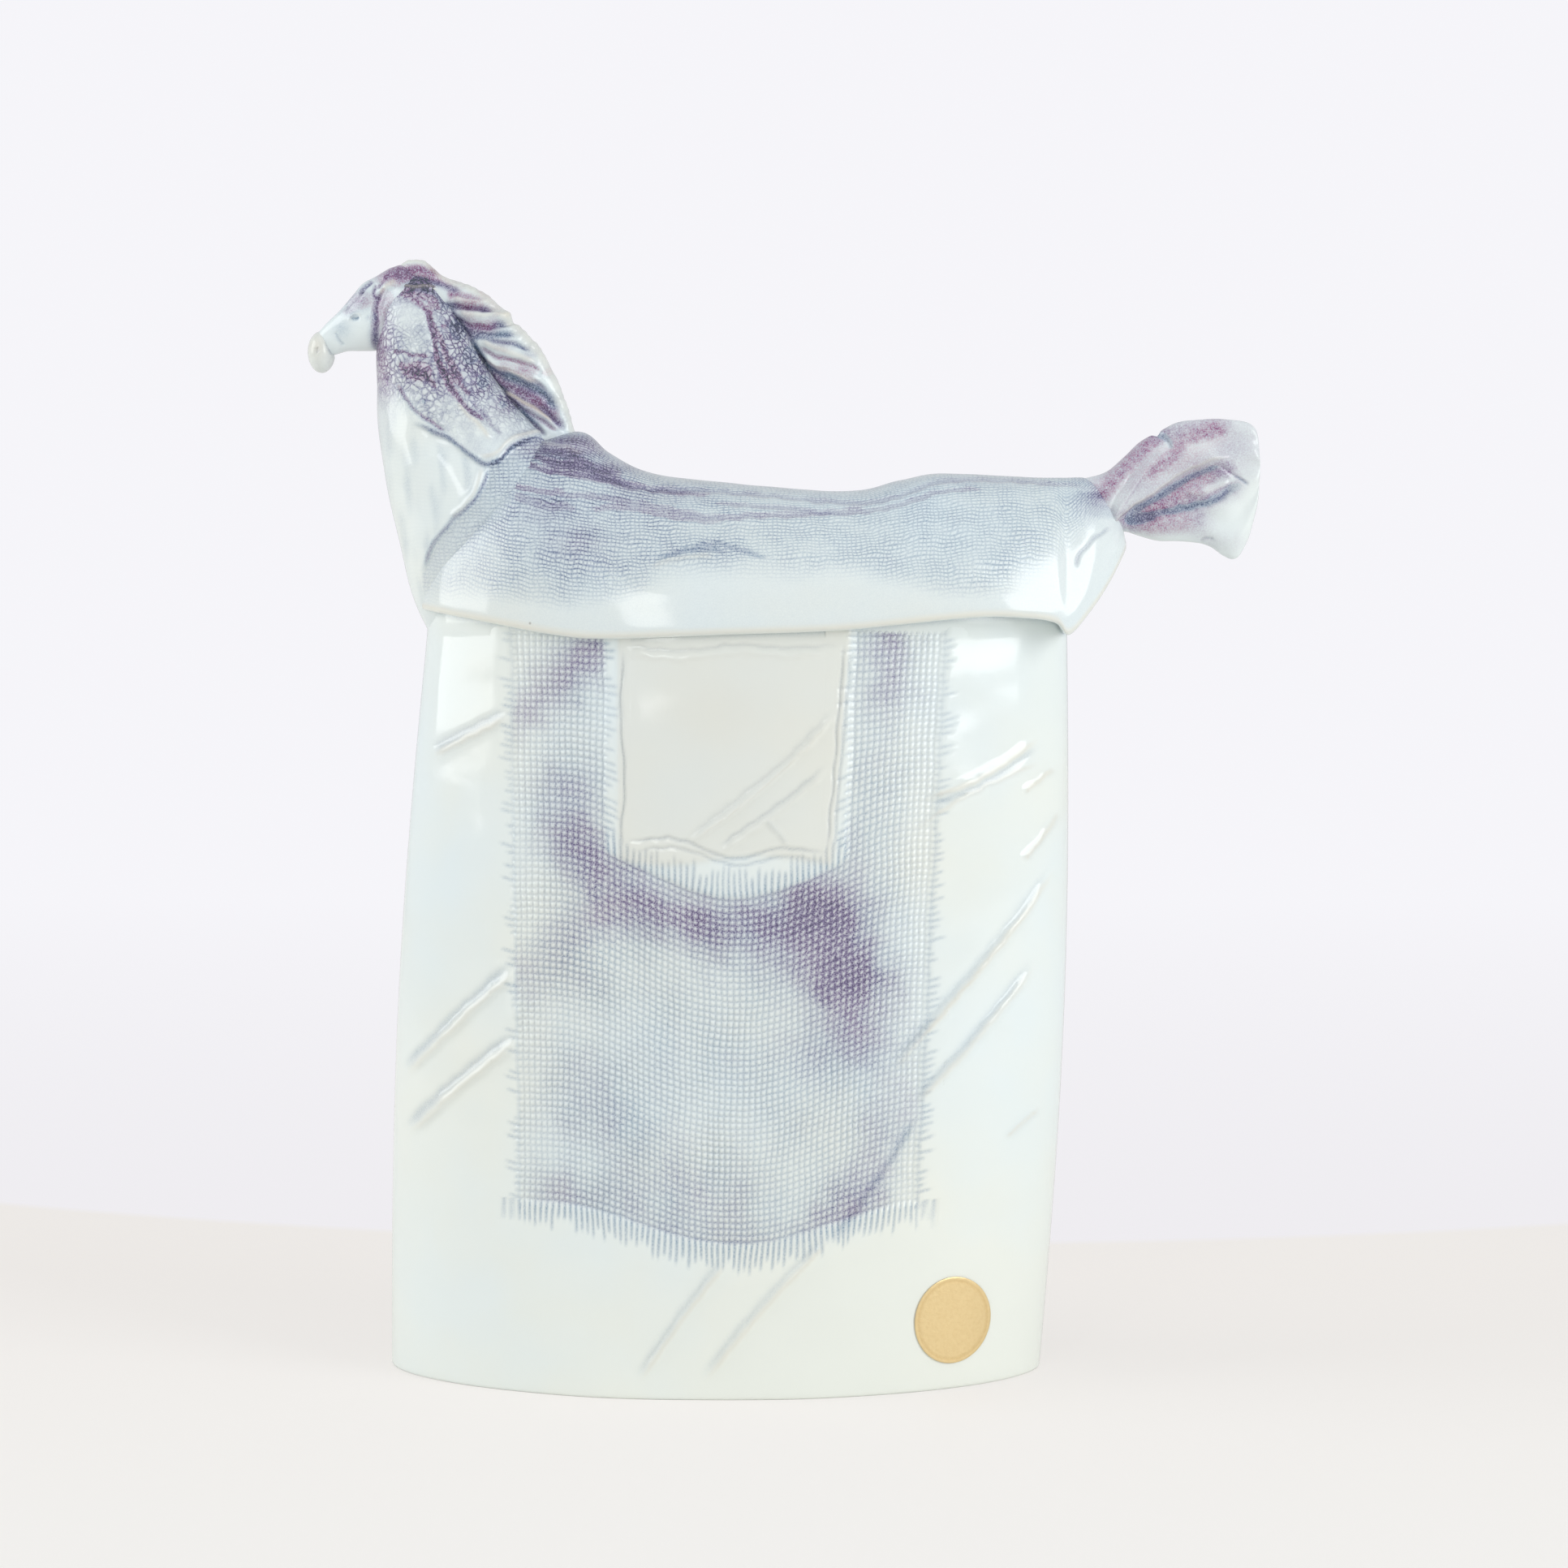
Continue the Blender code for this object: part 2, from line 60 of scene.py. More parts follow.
# %% Camera
CAMERA_AT = (0.04597, -1.14458, 0.2576)
CAMERA_TURN = (86.225, 0, 1.22)
camera_data = bpy.data.cameras.new("camera")
camera_data.lens = 85
camera_data.sensor_width = 36
camera = bpy.data.objects.new("camera", camera_data)
camera.location = CAMERA_AT
camera.rotation_euler = [math.radians(angle) for angle in CAMERA_TURN]
bpy.context.scene.collection.objects.link(camera)
bpy.context.scene.camera = camera
bpy.context.scene.view_settings.view_transform = "Standard"
print("camera at", CAMERA_AT, "with an 85 mm lens")

# %% [markdown]
# ## Shader maths as plain expressions
# A material in Blender is a graph of nodes. Wiring dozens of Math nodes by hand hides what they
# mean, so one small class wraps an output socket and overloads the operators. An expression such
# as `1 - mask * 0.5` then adds its own Math nodes. Everything else comes from one method, `node`.

# %% The wire class
class Wire:
    """An output socket of a shader node. Arithmetic on it adds Math nodes."""

    def __init__(self, tree, socket=None):
        self.tree = tree
        self.socket = socket

    def node(self, kind, settings=(), sockets=(), output=0):
        """Adds any node. Its settings come first, then a value or a wire for each socket."""
        made = self.tree.nodes.new(kind)
        for name, value in dict(settings).items():
            setattr(made, name, value)
        for key, value in dict(sockets).items():
            if isinstance(value, Wire):
                self.tree.links.new(value.socket, made.inputs[key])
            else:
                made.inputs[key].default_value = value
        return Wire(self.tree, made.outputs[output] if len(made.outputs) else None)

    def math(self, operation, a, b=0.0, clamp=False):
        """One Math node on two values."""
        return self.node("ShaderNodeMath", {"operation": operation, "use_clamp": clamp}, {0: a, 1: b})

    def __add__(self, other):
        return self.math("ADD", self, other)

    def __radd__(self, other):
        return self.math("ADD", other, self)

    def __sub__(self, other):
        return self.math("SUBTRACT", self, other)

    def __rsub__(self, other):
        return self.math("SUBTRACT", other, self)

    def __mul__(self, other):
        return self.math("MULTIPLY", self, other)

    def __rmul__(self, other):
        return self.math("MULTIPLY", other, self)

    def __pow__(self, other):
        return self.math("POWER", self, other)

    def clip(self):
        """The value held between 0 and 1."""
        return self.math("ADD", self, 0.0, clamp=True)

    def mix(self, low, high):
        """A colour that goes from low to high as this value goes from 0 to 1."""
        return self.node("ShaderNodeMix", {"data_type": "RGBA"}, {0: self, 6: low, 7: high}, 2)

    def rise(self, low, high):
        """0 below low, 1 above high, and straight between them."""
        sockets = {0: self, 1: low, 2: high}
        return self.node("ShaderNodeMapRange", {"clamp": True}, sockets)

    def noise(self, place, scale, detail=2.0, rough=0.5):
        """A cloudy value from about 0.3 to 0.7. Scale is the number of clouds in a metre."""
        sockets = {"Vector": place, "Scale": scale, "Detail": detail, "Roughness": rough}
        return self.node("ShaderNodeTexNoise", (), sockets)

    def attribute(self, name):
        """A number that was stored on the mesh's points."""
        return self.node("ShaderNodeAttribute", {"attribute_name": name}, (), 2)


def new_material(name):
    """An empty material: its Principled shader, and a wire to start expressions with."""
    material = bpy.data.materials.new(name)
    material.use_nodes = True
    shader = material.node_tree.nodes["Principled BSDF"]
    return material, shader, Wire(material.node_tree)


def connect(wire, shader, name):
    """Joins a wire to a socket of the shader."""
    wire.tree.links.new(wire.socket, shader.inputs[name])


print("the wire class is ready")

# %% [markdown]
# ## Floor, backdrop and light
# A glossy glaze shows its surroundings, so the lamps matter as much as the colours. The bright
# bars on the horse are large soft lamps to the left and right and one narrow lamp left of the
# camera, and a weak one hangs above. The world is a soft fill for the object. Rays from the camera,
# and a share of the reflections, see a pale backdrop in its place, and a pale sheen over the floor
# that leaves the shadow visible. Where the floor ends, in a slight bow, the backdrop begins. Area
# lamps are the simplest way to make such reflections.

# %% Floor and world
FLOOR_SIZE = 3.0
floor_points = [(-1, -1, 0), (1, -1, 0), (1, 1, 0), (-1, 1, 0)]
floor_mesh = bpy.data.meshes.new("floor")
floor_mesh.from_pydata([[c * FLOOR_SIZE for c in p] for p in floor_points], [], [(0, 1, 2, 3)])
floor = bpy.data.objects.new("floor", floor_mesh)
bpy.context.scene.collection.objects.link(floor)

FLOOR_END = 0.2
FLOOR_BOW = 0.65
FLOOR_MIDDLE = 0.05
FLOOR_BLUR = 0.005
SHEEN_SHARE = 0.62
GLOSSY_SHARE = 0.4
BACKDROP_WHITE = (0.92, 0.914, 0.95, 1)
# The backdrop's foot and the back of the floor's sheen are darker: painted shade where less light reaches
# them.
BACKDROP_FOOT = (0.86, 0.845, 0.875, 1)
SHEEN_FRONT = (0.93, 0.915, 0.895, 1)
SHEEN_BACK = (0.935, 0.895, 0.865, 1)


def background_share(start):
    """How much of the background a ray is shown: all of it for rays from the camera and through
    glass, and GLOSSY_SHARE for reflections, so that the gold foil shows it too."""
    seen = start.node("ShaderNodeLightPath", (), (), 0)
    glossy = start.node("ShaderNodeLightPath", (), (), 3)
    through = start.node("ShaderNodeLightPath", (), (), 6)
    return (seen + glossy * GLOSSY_SHARE + through).clip()


material, shader, start = new_material("pale_floor")
place = start.node("ShaderNodeTexCoord", (), (), 3)
sideways = start.node("ShaderNodeSeparateXYZ", (), {0: place}, 0) - FLOOR_MIDDLE
depth = start.node("ShaderNodeSeparateXYZ", (), {0: place}, 1)
bowed = depth - sideways * sideways * FLOOR_BOW
behind = bowed.rise(FLOOR_END - FLOOR_BLUR, FLOOR_END + FLOOR_BLUR)
shader.inputs["Base Color"].default_value = (0.88, 0.86, 0.83, 1)
shader.inputs["Roughness"].default_value = 0.6
# Darker towards the backdrop's foot and the floor's far end: painted shade.
far_tone = depth.rise(FLOOR_END, 1.5).mix(BACKDROP_FOOT, BACKDROP_WHITE)
glow = start.node("ShaderNodeEmission", (), {0: far_tone, 1: 1.0})
near_tone = depth.rise(-0.2, 0.15).mix(SHEEN_FRONT, SHEEN_BACK)
sheen = start.node("ShaderNodeEmission", (), {0: near_tone, 1: 1.0})
shown = background_share(start)
lit = Wire(start.tree, shader.outputs[0])
near_part = start.node("ShaderNodeMixShader", (), {0: shown * SHEEN_SHARE, 1: lit, 2: sheen})
sheet = start.node("ShaderNodeMixShader", (), {0: behind * shown, 1: near_part, 2: glow})
start.tree.links.new(sheet.socket, start.tree.nodes["Material Output"].inputs[0])
floor_mesh.materials.append(material)

world = bpy.data.worlds.new("studio")
bpy.context.scene.world = world
world.use_nodes = True
world.node_tree.nodes.clear()
start = Wire(world.node_tree)
FILL_STRENGTH = 0.535
fill = start.node("ShaderNodeBackground", (), {0: (0.97, 0.99, 1.0, 1), 1: FILL_STRENGTH})
white = start.node("ShaderNodeBackground", (), {0: BACKDROP_WHITE, 1: 1.0})
shown = background_share(start)
both = start.node("ShaderNodeMixShader", (), {0: shown, 1: fill, 2: white})
start.node("ShaderNodeOutputWorld", (), {0: both})
print("floor and world are set")


# %% Lamps
HORSE_MIDDLE = 0.17
LAMPS = {
    "lamp_left": {"turn": -81, "far": 1.5, "size": (1.1, 1.15), "middle": 0.80, "power": 10.2},
    "lamp_right": {"turn": 58, "far": 1.5, "size": (0.8, 1.1), "middle": 0.73, "power": 10.6},
    "lamp_strip": {"turn": -17, "far": 1.6, "size": (0.22, 0.8), "middle": 0.72, "power": 1.7},
    "lamp_above": {"turn": 20, "far": 0.5, "size": (1.2, 1.2), "middle": 1.9, "power": 2},
}


def add_lamp(name, turn, far, size, middle, power):
    """An area lamp at an angle round the horse, turned to face it. Size is width and height."""
    data = bpy.data.lights.new(name, "AREA")
    data.shape = "RECTANGLE"
    data.size = size[0]
    data.size_y = size[1]
    data.energy = power
    lamp = bpy.data.objects.new(name, data)
    angle = math.radians(turn)
    lamp.location = (far * math.sin(angle), -far * math.cos(angle), middle)
    drop = math.atan2(far, middle - HORSE_MIDDLE)
    lamp.rotation_euler = (drop, 0, angle)
    bpy.context.scene.collection.objects.link(lamp)


for name, values in LAMPS.items():
    add_lamp(name, **values)
print(len(LAMPS), "lamps")

# %% [markdown]
# ## Curves, steps and ripples
# Every shape below is worked out with numpy on whole arrays. A few small functions do most of it:
# a smooth curve through given points, a soft step, and a ripple that stands in for the slight
# unevenness of clay rolled by hand.

# %% Small functions
def smooth_curve(points, count, last=1.0):
    """A Catmull-Rom curve through the points, read at count even steps of its length up to
    the share last of it."""
    p = np.asarray(points, float)
    p = np.vstack([2 * p[0] - p[1], p, 2 * p[-1] - p[-2]])
    t = np.linspace(0, 1, 16, endpoint=False)[:, None]
    runs = []
    for a, b, c, d in zip(p[:-3], p[1:-2], p[2:-1], p[3:]):
        slope = (c - a) / 2
        bend = a - 2.5 * b + 2 * c - d / 2
        twist = 1.5 * (b - c) + (d - a) / 2
        runs.append(b + t * (slope + t * (bend + t * twist)))
    fine = np.vstack(runs + [p[-2:-1]])
    length = np.concatenate([[0], np.cumsum(np.linalg.norm(np.diff(fine, axis=0), axis=1))])
    at = np.linspace(0, length[-1] * last, count)
    return np.column_stack([np.interp(at, length, fine[:, k]) for k in range(p.shape[1])])


def step(value, low, high):
    """Rises smoothly from 0 at low to 1 at high: t squared times (3 - 2t)."""
    t = np.clip((value - low) / (high - low), 0, 1)
    return t * t * (3 - 2 * t)


def bell(value, width):
    """A bell: e to the power of minus the square of value over width."""
    return np.exp(-((value / width) ** 2))


def ripple(x, z, size, seed):
    """Smooth noise from -1 to 1: the sum of seven sine waves about size long, each with a
    random direction, length and phase."""
    rng = np.random.default_rng(seed)
    total = 0
    for _ in range(7):
        turn = rng.uniform(0, 2 * math.pi)
        length = size * rng.uniform(0.6, 1.6)
        phase = rng.uniform(0, 2 * math.pi)
        total = total + np.sin(2 * math.pi * (x * math.cos(turn) + z * math.sin(turn)) / length + phase)
    return total / 4


def read_along(pairs, count):
    """Values given at shares of a length, read at count even steps."""
    table = np.asarray(pairs, float)
    return np.interp(np.linspace(0, 1, count), table[:, 0], table[:, 1])


def spread(low, high, count, bands):
    """Count places from low to high. Each band (from, to, weight) draws more of them to it: the
    places are even steps of the running sum of the weights."""
    fine = np.linspace(low, high, 4000)
    weight = np.ones(4000)
    for start_at, end_at, more in bands:
        weight = weight + more * ((fine >= start_at) & (fine <= end_at))
    total = np.concatenate([[0], np.cumsum(weight[:-1])])
    return np.interp(np.linspace(0, total[-1], count), total, fine)


print("a step at 0.5:", float(step(0.5, 0, 1)))

# %% [markdown]
# ## Marks drawn on the clay
# Creases, folds and grooves are lines seen from the front. For each point of a surface we need its
# distance to such a line: then a bell of that distance is a ridge or a groove, and a step of it is
# the edge of an overlapping slab. The same distance says where glaze has gathered. A painted mask
# would do for the colour alone, but this keeps shape and colour together.

# %% Distance to a line, and marks made from it
def from_line(x, z, points):
    """Distance from the smooth line through the points, the share of its length there, and the
    side: +1 to the left of its direction. It is the least distance to the line's short parts."""
    line = smooth_curve(points, 5 * len(points))
    best = np.full(np.shape(x), 1e9)
    share = np.zeros(np.shape(x))
    side = np.ones(np.shape(x))
    for k in range(len(line) - 1):
        a = line[k]
        run = line[k + 1] - a
        t = np.clip(((x - a[0]) * run[0] + (z - a[1]) * run[1]) / (run @ run), 0, 1)
        dx = x - a[0] - t * run[0]
        dz = z - a[1] - t * run[1]
        away = np.hypot(dx, dz)
        near = away < best
        best = np.where(near, away, best)
        share = np.where(near, (k + t) / (len(line) - 1), share)
        side = np.where(near, np.sign(run[0] * dz - run[1] * dx), side)
    return best, share, side


def mark(at, high=0.0, wide=1.0, pool=0.0, spread_to=None, violet=0.5, thin=0.0, edge=0.0):
    """One mark: a line with the height and half width of its ridge or groove in mm, how much
    glaze it holds and how far that reaches, how violet it is, how bare its crest is, and the
    height of a slab edge whose high side is to the left of the line."""
    reach = wide if spread_to is None else spread_to
    return {"at": at, "high": high, "wide": wide, "pool": pool, "reach": reach,
            "violet": violet, "thin": thin, "edge": edge}


def read_marks(x, z, marks, shake=0.3):
    """Adds up marks: relief in mm, and glaze pool, violet and bare clay from 0 to 1. Relief is a
    bell of the distance times a fade at both ends, and pools join as 1 - (1 - a)(1 - b). A ripple
    of shake mm makes the lines look drawn by hand."""
    x, z = x + shake * ripple(x, z, 8, 91), z + shake * ripple(x, z, 8, 92)
    relief = np.zeros(x.shape)
    clear = np.ones(x.shape)
    violet = np.zeros(x.shape)
    weight = np.full(x.shape, 1e-6)
    thin = np.zeros(x.shape)
    for m in marks:
        away, share, side = from_line(x, z, m["at"])
        fade = step(share, -0.02, 0.12) * step(1 - share, -0.02, 0.15)
        relief = relief + m["high"] * fade * bell(away, m["wide"])
        if m["edge"]:
            inside = step(side * away, -m["wide"], m["wide"])
            relief = relief + m["edge"] * fade * inside * bell(away, 9 * m["wide"])
        amount = m["pool"] * fade * bell(away, m["reach"])
        clear = clear * (1 - np.clip(amount, 0, 1))
        violet = violet + m["violet"] * amount
        weight = weight + amount
        thin = np.maximum(thin, m["thin"] * fade * bell(away, 0.7 * m["wide"]))
    return relief, 1 - clear, violet / weight, thin


def patches(x, z, spots):
    """Soft round patches: each is (x, z, half width, half height, amount), an amount times a
    bell of the distance from its middle. The largest one counts."""
    total = np.zeros(np.shape(x))
    for px, pz, wide, high, amount in spots:
        away = np.hypot((x - px) / wide, (z - pz) / high)
        total = np.maximum(total, amount * bell(away, 1.0))
    return total


def strokes(x, z, lines):
    """Broad soft strokes, each a line, its width and its amount. It falls off as a bell of the
    distance, and strokes join as 1 - (1 - a)(1 - b)."""
    clear = np.ones(np.shape(x))
    for points, wide, amount in lines:
        clear = clear * (1 - amount * bell(from_line(x, z, points)[0], wide))
    return 1 - clear


off_line = from_line(np.array([5.0]), np.array([3.0]), [(0, 0), (10, 0)])[0]
print("a point 3 mm off a line:", float(off_line[0]))

# %% [markdown]
# ## From a grid of points to a closed mesh
# A slab is a row of rings. Each ring is a closed loop of points, neighbouring rings are joined by
# quads, and a fan of triangles closes each end. `foreach_set` hands whole arrays to Blender, which
# is far quicker than adding faces one by one. The signed volume tells whether the faces point out.

# %% Rings to mesh
def ring_faces(count, columns):
    """Corner numbers of the quads between rings, and of the fans at both ends."""
    index = np.arange(count * columns).reshape(count, columns)
    low = index[:-1]
    high = index[1:]
    quads = np.stack([low, np.roll(low, -1, 1), np.roll(high, -1, 1), high], -1).reshape(-1, 4)
    first = np.column_stack([np.roll(index[0], -1), index[0], np.full(columns, count * columns)])
    last = np.column_stack([index[-1], np.roll(index[-1], -1), np.full(columns, count * columns + 1)])
    return quads, np.vstack([first, last])


def volume(points, triangles):
    """Signed volume: a sixth of the sum of each triangle's triple product."""
    a, b, c = (points[triangles[:, k]] for k in range(3))
    return float(np.sum(a * np.cross(b, c)) / 6)


def face_outwards(points, quads, triangles):
    """The same faces, wound the other way when their volume comes out negative."""
    whole = np.vstack([quads[:, [0, 1, 2]], quads[:, [0, 2, 3]], triangles])
    if volume(points, whole) < 0:
        return quads[:, ::-1], triangles[:, ::-1]
    return quads, triangles


def build(name, points, quads, triangles, values, material):
    """A mesh object from points in mm, quads and triangles, with named numbers on its points."""
    corners = np.concatenate([quads.ravel(), triangles.ravel()]).astype(np.int32)
    sizes = np.concatenate([np.full(len(quads), 4), np.full(len(triangles), 3)]).astype(np.int32)
    starts = np.concatenate([[0], np.cumsum(sizes)[:-1]]).astype(np.int32)
    mesh = bpy.data.meshes.new(name)
    mesh.vertices.add(len(points))
    mesh.vertices.foreach_set("co", (points * MM).astype(np.float32).ravel())
    mesh.loops.add(len(corners))
    mesh.loops.foreach_set("vertex_index", corners)
    mesh.polygons.add(len(sizes))
    mesh.polygons.foreach_set("loop_start", starts)
    mesh.update(calc_edges=True)
    mesh.validate()
    mesh.shade_smooth()
    for key, value in values.items():
        attribute = mesh.attributes.new(key, "FLOAT", "POINT")
        attribute.data.foreach_set("value", np.asarray(value, np.float32).ravel())
    mesh.materials.append(material)
    piece = bpy.data.objects.new(name, mesh)
    bpy.context.scene.collection.objects.link(piece)
    print(name, len(points), "points,", 2 * len(quads) + len(triangles), "triangles")
    return piece


def ring_piece(name, rings, values, material):
    """A closed piece through rings of points, shape (rings, columns, 3). Each named number has
    one value for each point of the rings."""
    count, columns = rings.shape[:2]
    quads, fans = ring_faces(count, columns)
    middles = rings[[0, -1]].mean(axis=1)
    points = np.vstack([rings.reshape(-1, 3), middles])
    quads, fans = face_outwards(points, quads, fans)
    ends = {key: np.concatenate([v.ravel(), v[[0, -1]].mean(axis=1)]) for key, v in values.items()}
    piece = build(name, points, quads, fans, ends, material)
    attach(piece, "root")
    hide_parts("ceramic_body")
    return piece


def outward(rings):
    """Unit normals of a ring grid: the step along it crossed with the step round it, turned so
    that they point away from the middle of each ring."""
    along = np.gradient(rings, axis=0)
    around = np.roll(rings, -1, 1) - np.roll(rings, 1, 1)
    normal = np.cross(around, along)
    normal = normal / np.maximum(np.linalg.norm(normal, axis=-1, keepdims=True), 1e-9)
    away = rings - rings.mean(axis=1, keepdims=True)
    return normal * np.sign(np.sum(normal * away))


def lift(rings, height):
    """Moves each point of the rings out along its normal by height."""
    return rings + outward(rings) * height[..., None]


def run_lengths(rings):
    """Two lengths in mm for each point: along the piece, and round it from its first column."""
    along = np.linalg.norm(np.diff(rings, axis=0), axis=-1).mean(axis=1)
    along = np.concatenate([[0], np.cumsum(along)])[:, None] + 0 * rings[..., 0]
    around = np.linalg.norm(np.diff(rings, axis=1), axis=-1)
    around = np.concatenate([np.zeros((len(rings), 1)), np.cumsum(around, axis=1)], axis=1)
    return along, around


def slab(edge_a, edge_b, half_depth, turn, power=0.5):
    """Rings between two edge curves. At each angle of turn the point lies (1 - cosine) / 2 of the
    way across, and its depth is the half depth times the sine to the power of 2 * power."""
    across = (1 - np.cos(turn)) / 2
    out = -np.sign(np.sin(turn)) * np.abs(np.sin(turn)) ** (2 * power)
    span = edge_b - edge_a
    x = edge_a[:, :1] + span[:, :1] * across
    z = edge_a[:, 1:] + span[:, 1:] * across
    y = half_depth[:, None] * out
    return np.stack([x, y, z], axis=-1)


def oval_turn(front, back):
    """Angles round a ring: front steps on the near side and back steps on the far side, spread
    so that they are close to even across the width."""
    near = np.linspace(0, 1, front, endpoint=False)
    far = np.linspace(1, 2, back, endpoint=False)
    s = np.concatenate([near, far])
    return math.pi * s + 0.18 * np.sin(2 * math.pi * s)


print("mesh helpers are ready")

# %% [markdown]
# ## The glaze
# One finish covers the whole horse. Thin glaze is pale green-white with warm clouds. Where it
# gathers it turns blue, violet or maroon, and on sharp edges it runs off and leaves a beige line.
# The mesh carries those amounts as numbers on its points: `pool`, `thin`, and `violet`, which goes
# from 0, blue, over 1, violet, to 2, maroon. Some slabs were pressed with a fine gauze as well,
# whose threads are too small for the mesh: they are two sets of lines on the lengths `along` and
# `around`, which colour the glaze and lie a little deeper.

# %% Glaze material
PALE_GREEN = (0.78, 0.87, 0.90, 1)
PALE_WARM = (0.84, 0.87, 0.81, 1)
TEAL_POOL = (0.19, 0.30, 0.43, 1)
VIOLET_POOL = (0.19, 0.15, 0.30, 1)
MAROON_POOL = (0.34, 0.065, 0.20, 1)
INK = (0.055, 0.07, 0.10, 1)
BEIGE_EDGE = (0.74, 0.68, 0.55, 1)
BROWN_SPECK = (0.10, 0.05, 0.03, 1)
GAUZE_PITCH = (1.4, 1.3)
SPECKS = [((-54.1, -36, 232.6), 0.9), ((-54.1, -33, 228.6), 0.6), ((-21.6, -33, 276.5), 0.8),
          ((-44.7, -40, 204.3), 0.5)]


def gauze_lines(start, place, across_pitch, down_pitch):
    """Two sets of thread grooves. Each is half of 1 + cos of the length over the pitch, which a
    little noise bends, and the deeper of the two counts."""
    along = start.attribute("along")
    around = start.attribute("around")
    bend = (start.noise(place, 90, 2) - 0.5) * 5.0
    tremble = (start.noise(place, 420, 1) - 0.5) * 1.6
    wave_a = start.math("COSINE", (along + bend + tremble) * (2 * math.pi / across_pitch))
    wave_b = start.math("COSINE", (around + bend) * (2 * math.pi / down_pitch))
    return start.math("MAXIMUM", (wave_a * 0.5 + 0.5) ** 2.5 * 0.7, (wave_b * 0.5 + 0.5) ** 1.7)


def make_glaze(name, gauze=None, scaly=False):
    """The glaze, with the two thread pitches in mm of the gauze pressed into it, if any. A scaly
    one has cracks where the attribute of that name is set: the edges of Voronoi cells."""
    material, shader, start = new_material(name)
    place = start.node("ShaderNodeTexCoord", (), (), 3)
    high = start.node("ShaderNodeSeparateXYZ", (), {0: place}, 2)
    clouds = (start.noise(place, 14, 3).rise(0.35, 0.65) * 0.7 + 0.55 - high * 2.2).clip()
    mottle = start.noise(place, 520, 4, 0.7)
    streak = start.noise(place, 120, 3)
    pool = start.attribute("pool")
    violet = start.attribute("violet")
    grit = start.noise(place, 2300, 1)
    depth = pool * (1.6 * grit + 0.6 * mottle - 0.1)
    height = start.noise(place, 55, 2) * 0.25 + mottle * 0.02
    if gauze:
        threads = gauze_lines(start, place, *gauze)
        printed = start.attribute("gauze") * (0.6 + 0.5 * streak.rise(0.35, 0.6)) * (0.3 + 1.4 * grit)
        depth = depth + threads * printed
        height = height - threads * start.attribute("gauze") * 0.22
    if scaly:
        shake = start.node("ShaderNodeTexNoise", (), {"Vector": place, "Scale": 200.0}, 1)
        shaken = start.node("ShaderNodeVectorMath", {"operation": "SCALE"}, {0: shake, "Scale": 0.004})
        cell_place = start.node("ShaderNodeVectorMath", (), {0: place, 1: shaken})
        sockets = {"Vector": cell_place, "Scale": 560}
        cells = start.node("ShaderNodeTexVoronoi", {"feature": "DISTANCE_TO_EDGE"}, sockets)
        cracks = (1 - cells.rise(0.0, 0.24)) * start.attribute("scaly")
        depth = depth + cracks * (0.25 + 0.9 * grit) * (0.6 + 0.8 * streak.rise(0.4, 0.6))
        height = height - cracks * 0.4
    deepest = depth.rise(0.85, 1.5)
    depth = depth.clip()
    tint = (violet + (streak - 0.5) * 0.7).clip()
    ruddy = ((violet - 1) * grit.rise(0.34, 0.56)).clip()
    dark = ruddy.mix(tint.mix(TEAL_POOL, VIOLET_POOL), MAROON_POOL)
    colour = depth.mix(clouds.mix(PALE_GREEN, PALE_WARM), deepest.mix(dark, INK))
    colour = start.attribute("thin").clip().mix(colour, BEIGE_EDGE)
    for point, radius in SPECKS:
        spot = [c * MM for c in point]
        away = start.node("ShaderNodeVectorMath", {"operation": "DISTANCE"}, {0: place, 1: spot}, 1)
        colour = (1 - away.rise(0.6 * radius * MM, radius * MM)).mix(colour, BROWN_SPECK)
    connect(colour, shader, "Base Color")
    connect(0.06 + streak * 0.05, shader, "Roughness")
    bump = start.node("ShaderNodeBump", (), {"Strength": 1.0, "Distance": 0.0006, "Height": height})
    connect(bump, shader, "Normal")
    shader.inputs["IOR"].default_value = 1.52
    return material


glaze = make_glaze("glaze")
print("glaze has", len(glaze.node_tree.nodes), "nodes")

# %% [markdown]
# ## The lower body
# It is a standing slab with a pointed oval plan. Its front was modelled before firing: a plain
# window stands out of the print, thin double lines run round it, and folds cross the sides like
# creases in leather. The shape is a function of two parameters, the share across the width and
# the height. Columns and rows lie closer together where the window is.

# %% Lower body: plan and measures
FOOT_WIDTH = 203.0
FOOT_DEPTH = 100.0
SHOULDER_WIDTH = 198.0
SHOULDER_DEPTH = 84.0
BODY_BELLY = 3.5
BODY_LEAN = 10.0
EDGE_POWER = 0.58
RIM_HEIGHT = 228.0
RIM_LAP = 10.0
RIM_LINE = [(0, 0.19), (0.1, 0.11), (0.21, 0.02), (0.28, 0), (0.44, 0.03), (0.6, 0.06), (0.775, 0.14),
            (0.853, 0.135), (0.895, 0.10), (0.914, 0.02), (0.944, 0.17), (0.972, 0.36), (1, 0.6)]
BODY_RINGS = 266
NEAR_POINTS = 246
FAR_POINTS = 56
VENT_FROM_MIDDLE = 45.0
VENT_RADIUS = 6.0
VENT_DEPTH = 8.0
CHEST_REACH = 2.0
RUMP_REACH = 18.0
TRUNK_RISE = 45.0


def body_middle(z):
    """X of the body's middle: it leans towards the tail in proportion to the height."""
    return BODY_LEAN * z / RIM_HEIGHT


def body_half_width(z):
    """Half width: straight from foot to shoulder, plus a belly that goes as sin."""
    up = z / RIM_HEIGHT
    belly = BODY_BELLY * np.sin(math.pi * np.clip(up, 0, 1))
    return (FOOT_WIDTH + (SHOULDER_WIDTH - FOOT_WIDTH) * up) / 2 + belly


def body_half_depth(z):
    """Half depth: straight from foot to shoulder."""
    return (FOOT_DEPTH + (SHOULDER_DEPTH - FOOT_DEPTH) * z / RIM_HEIGHT) / 2


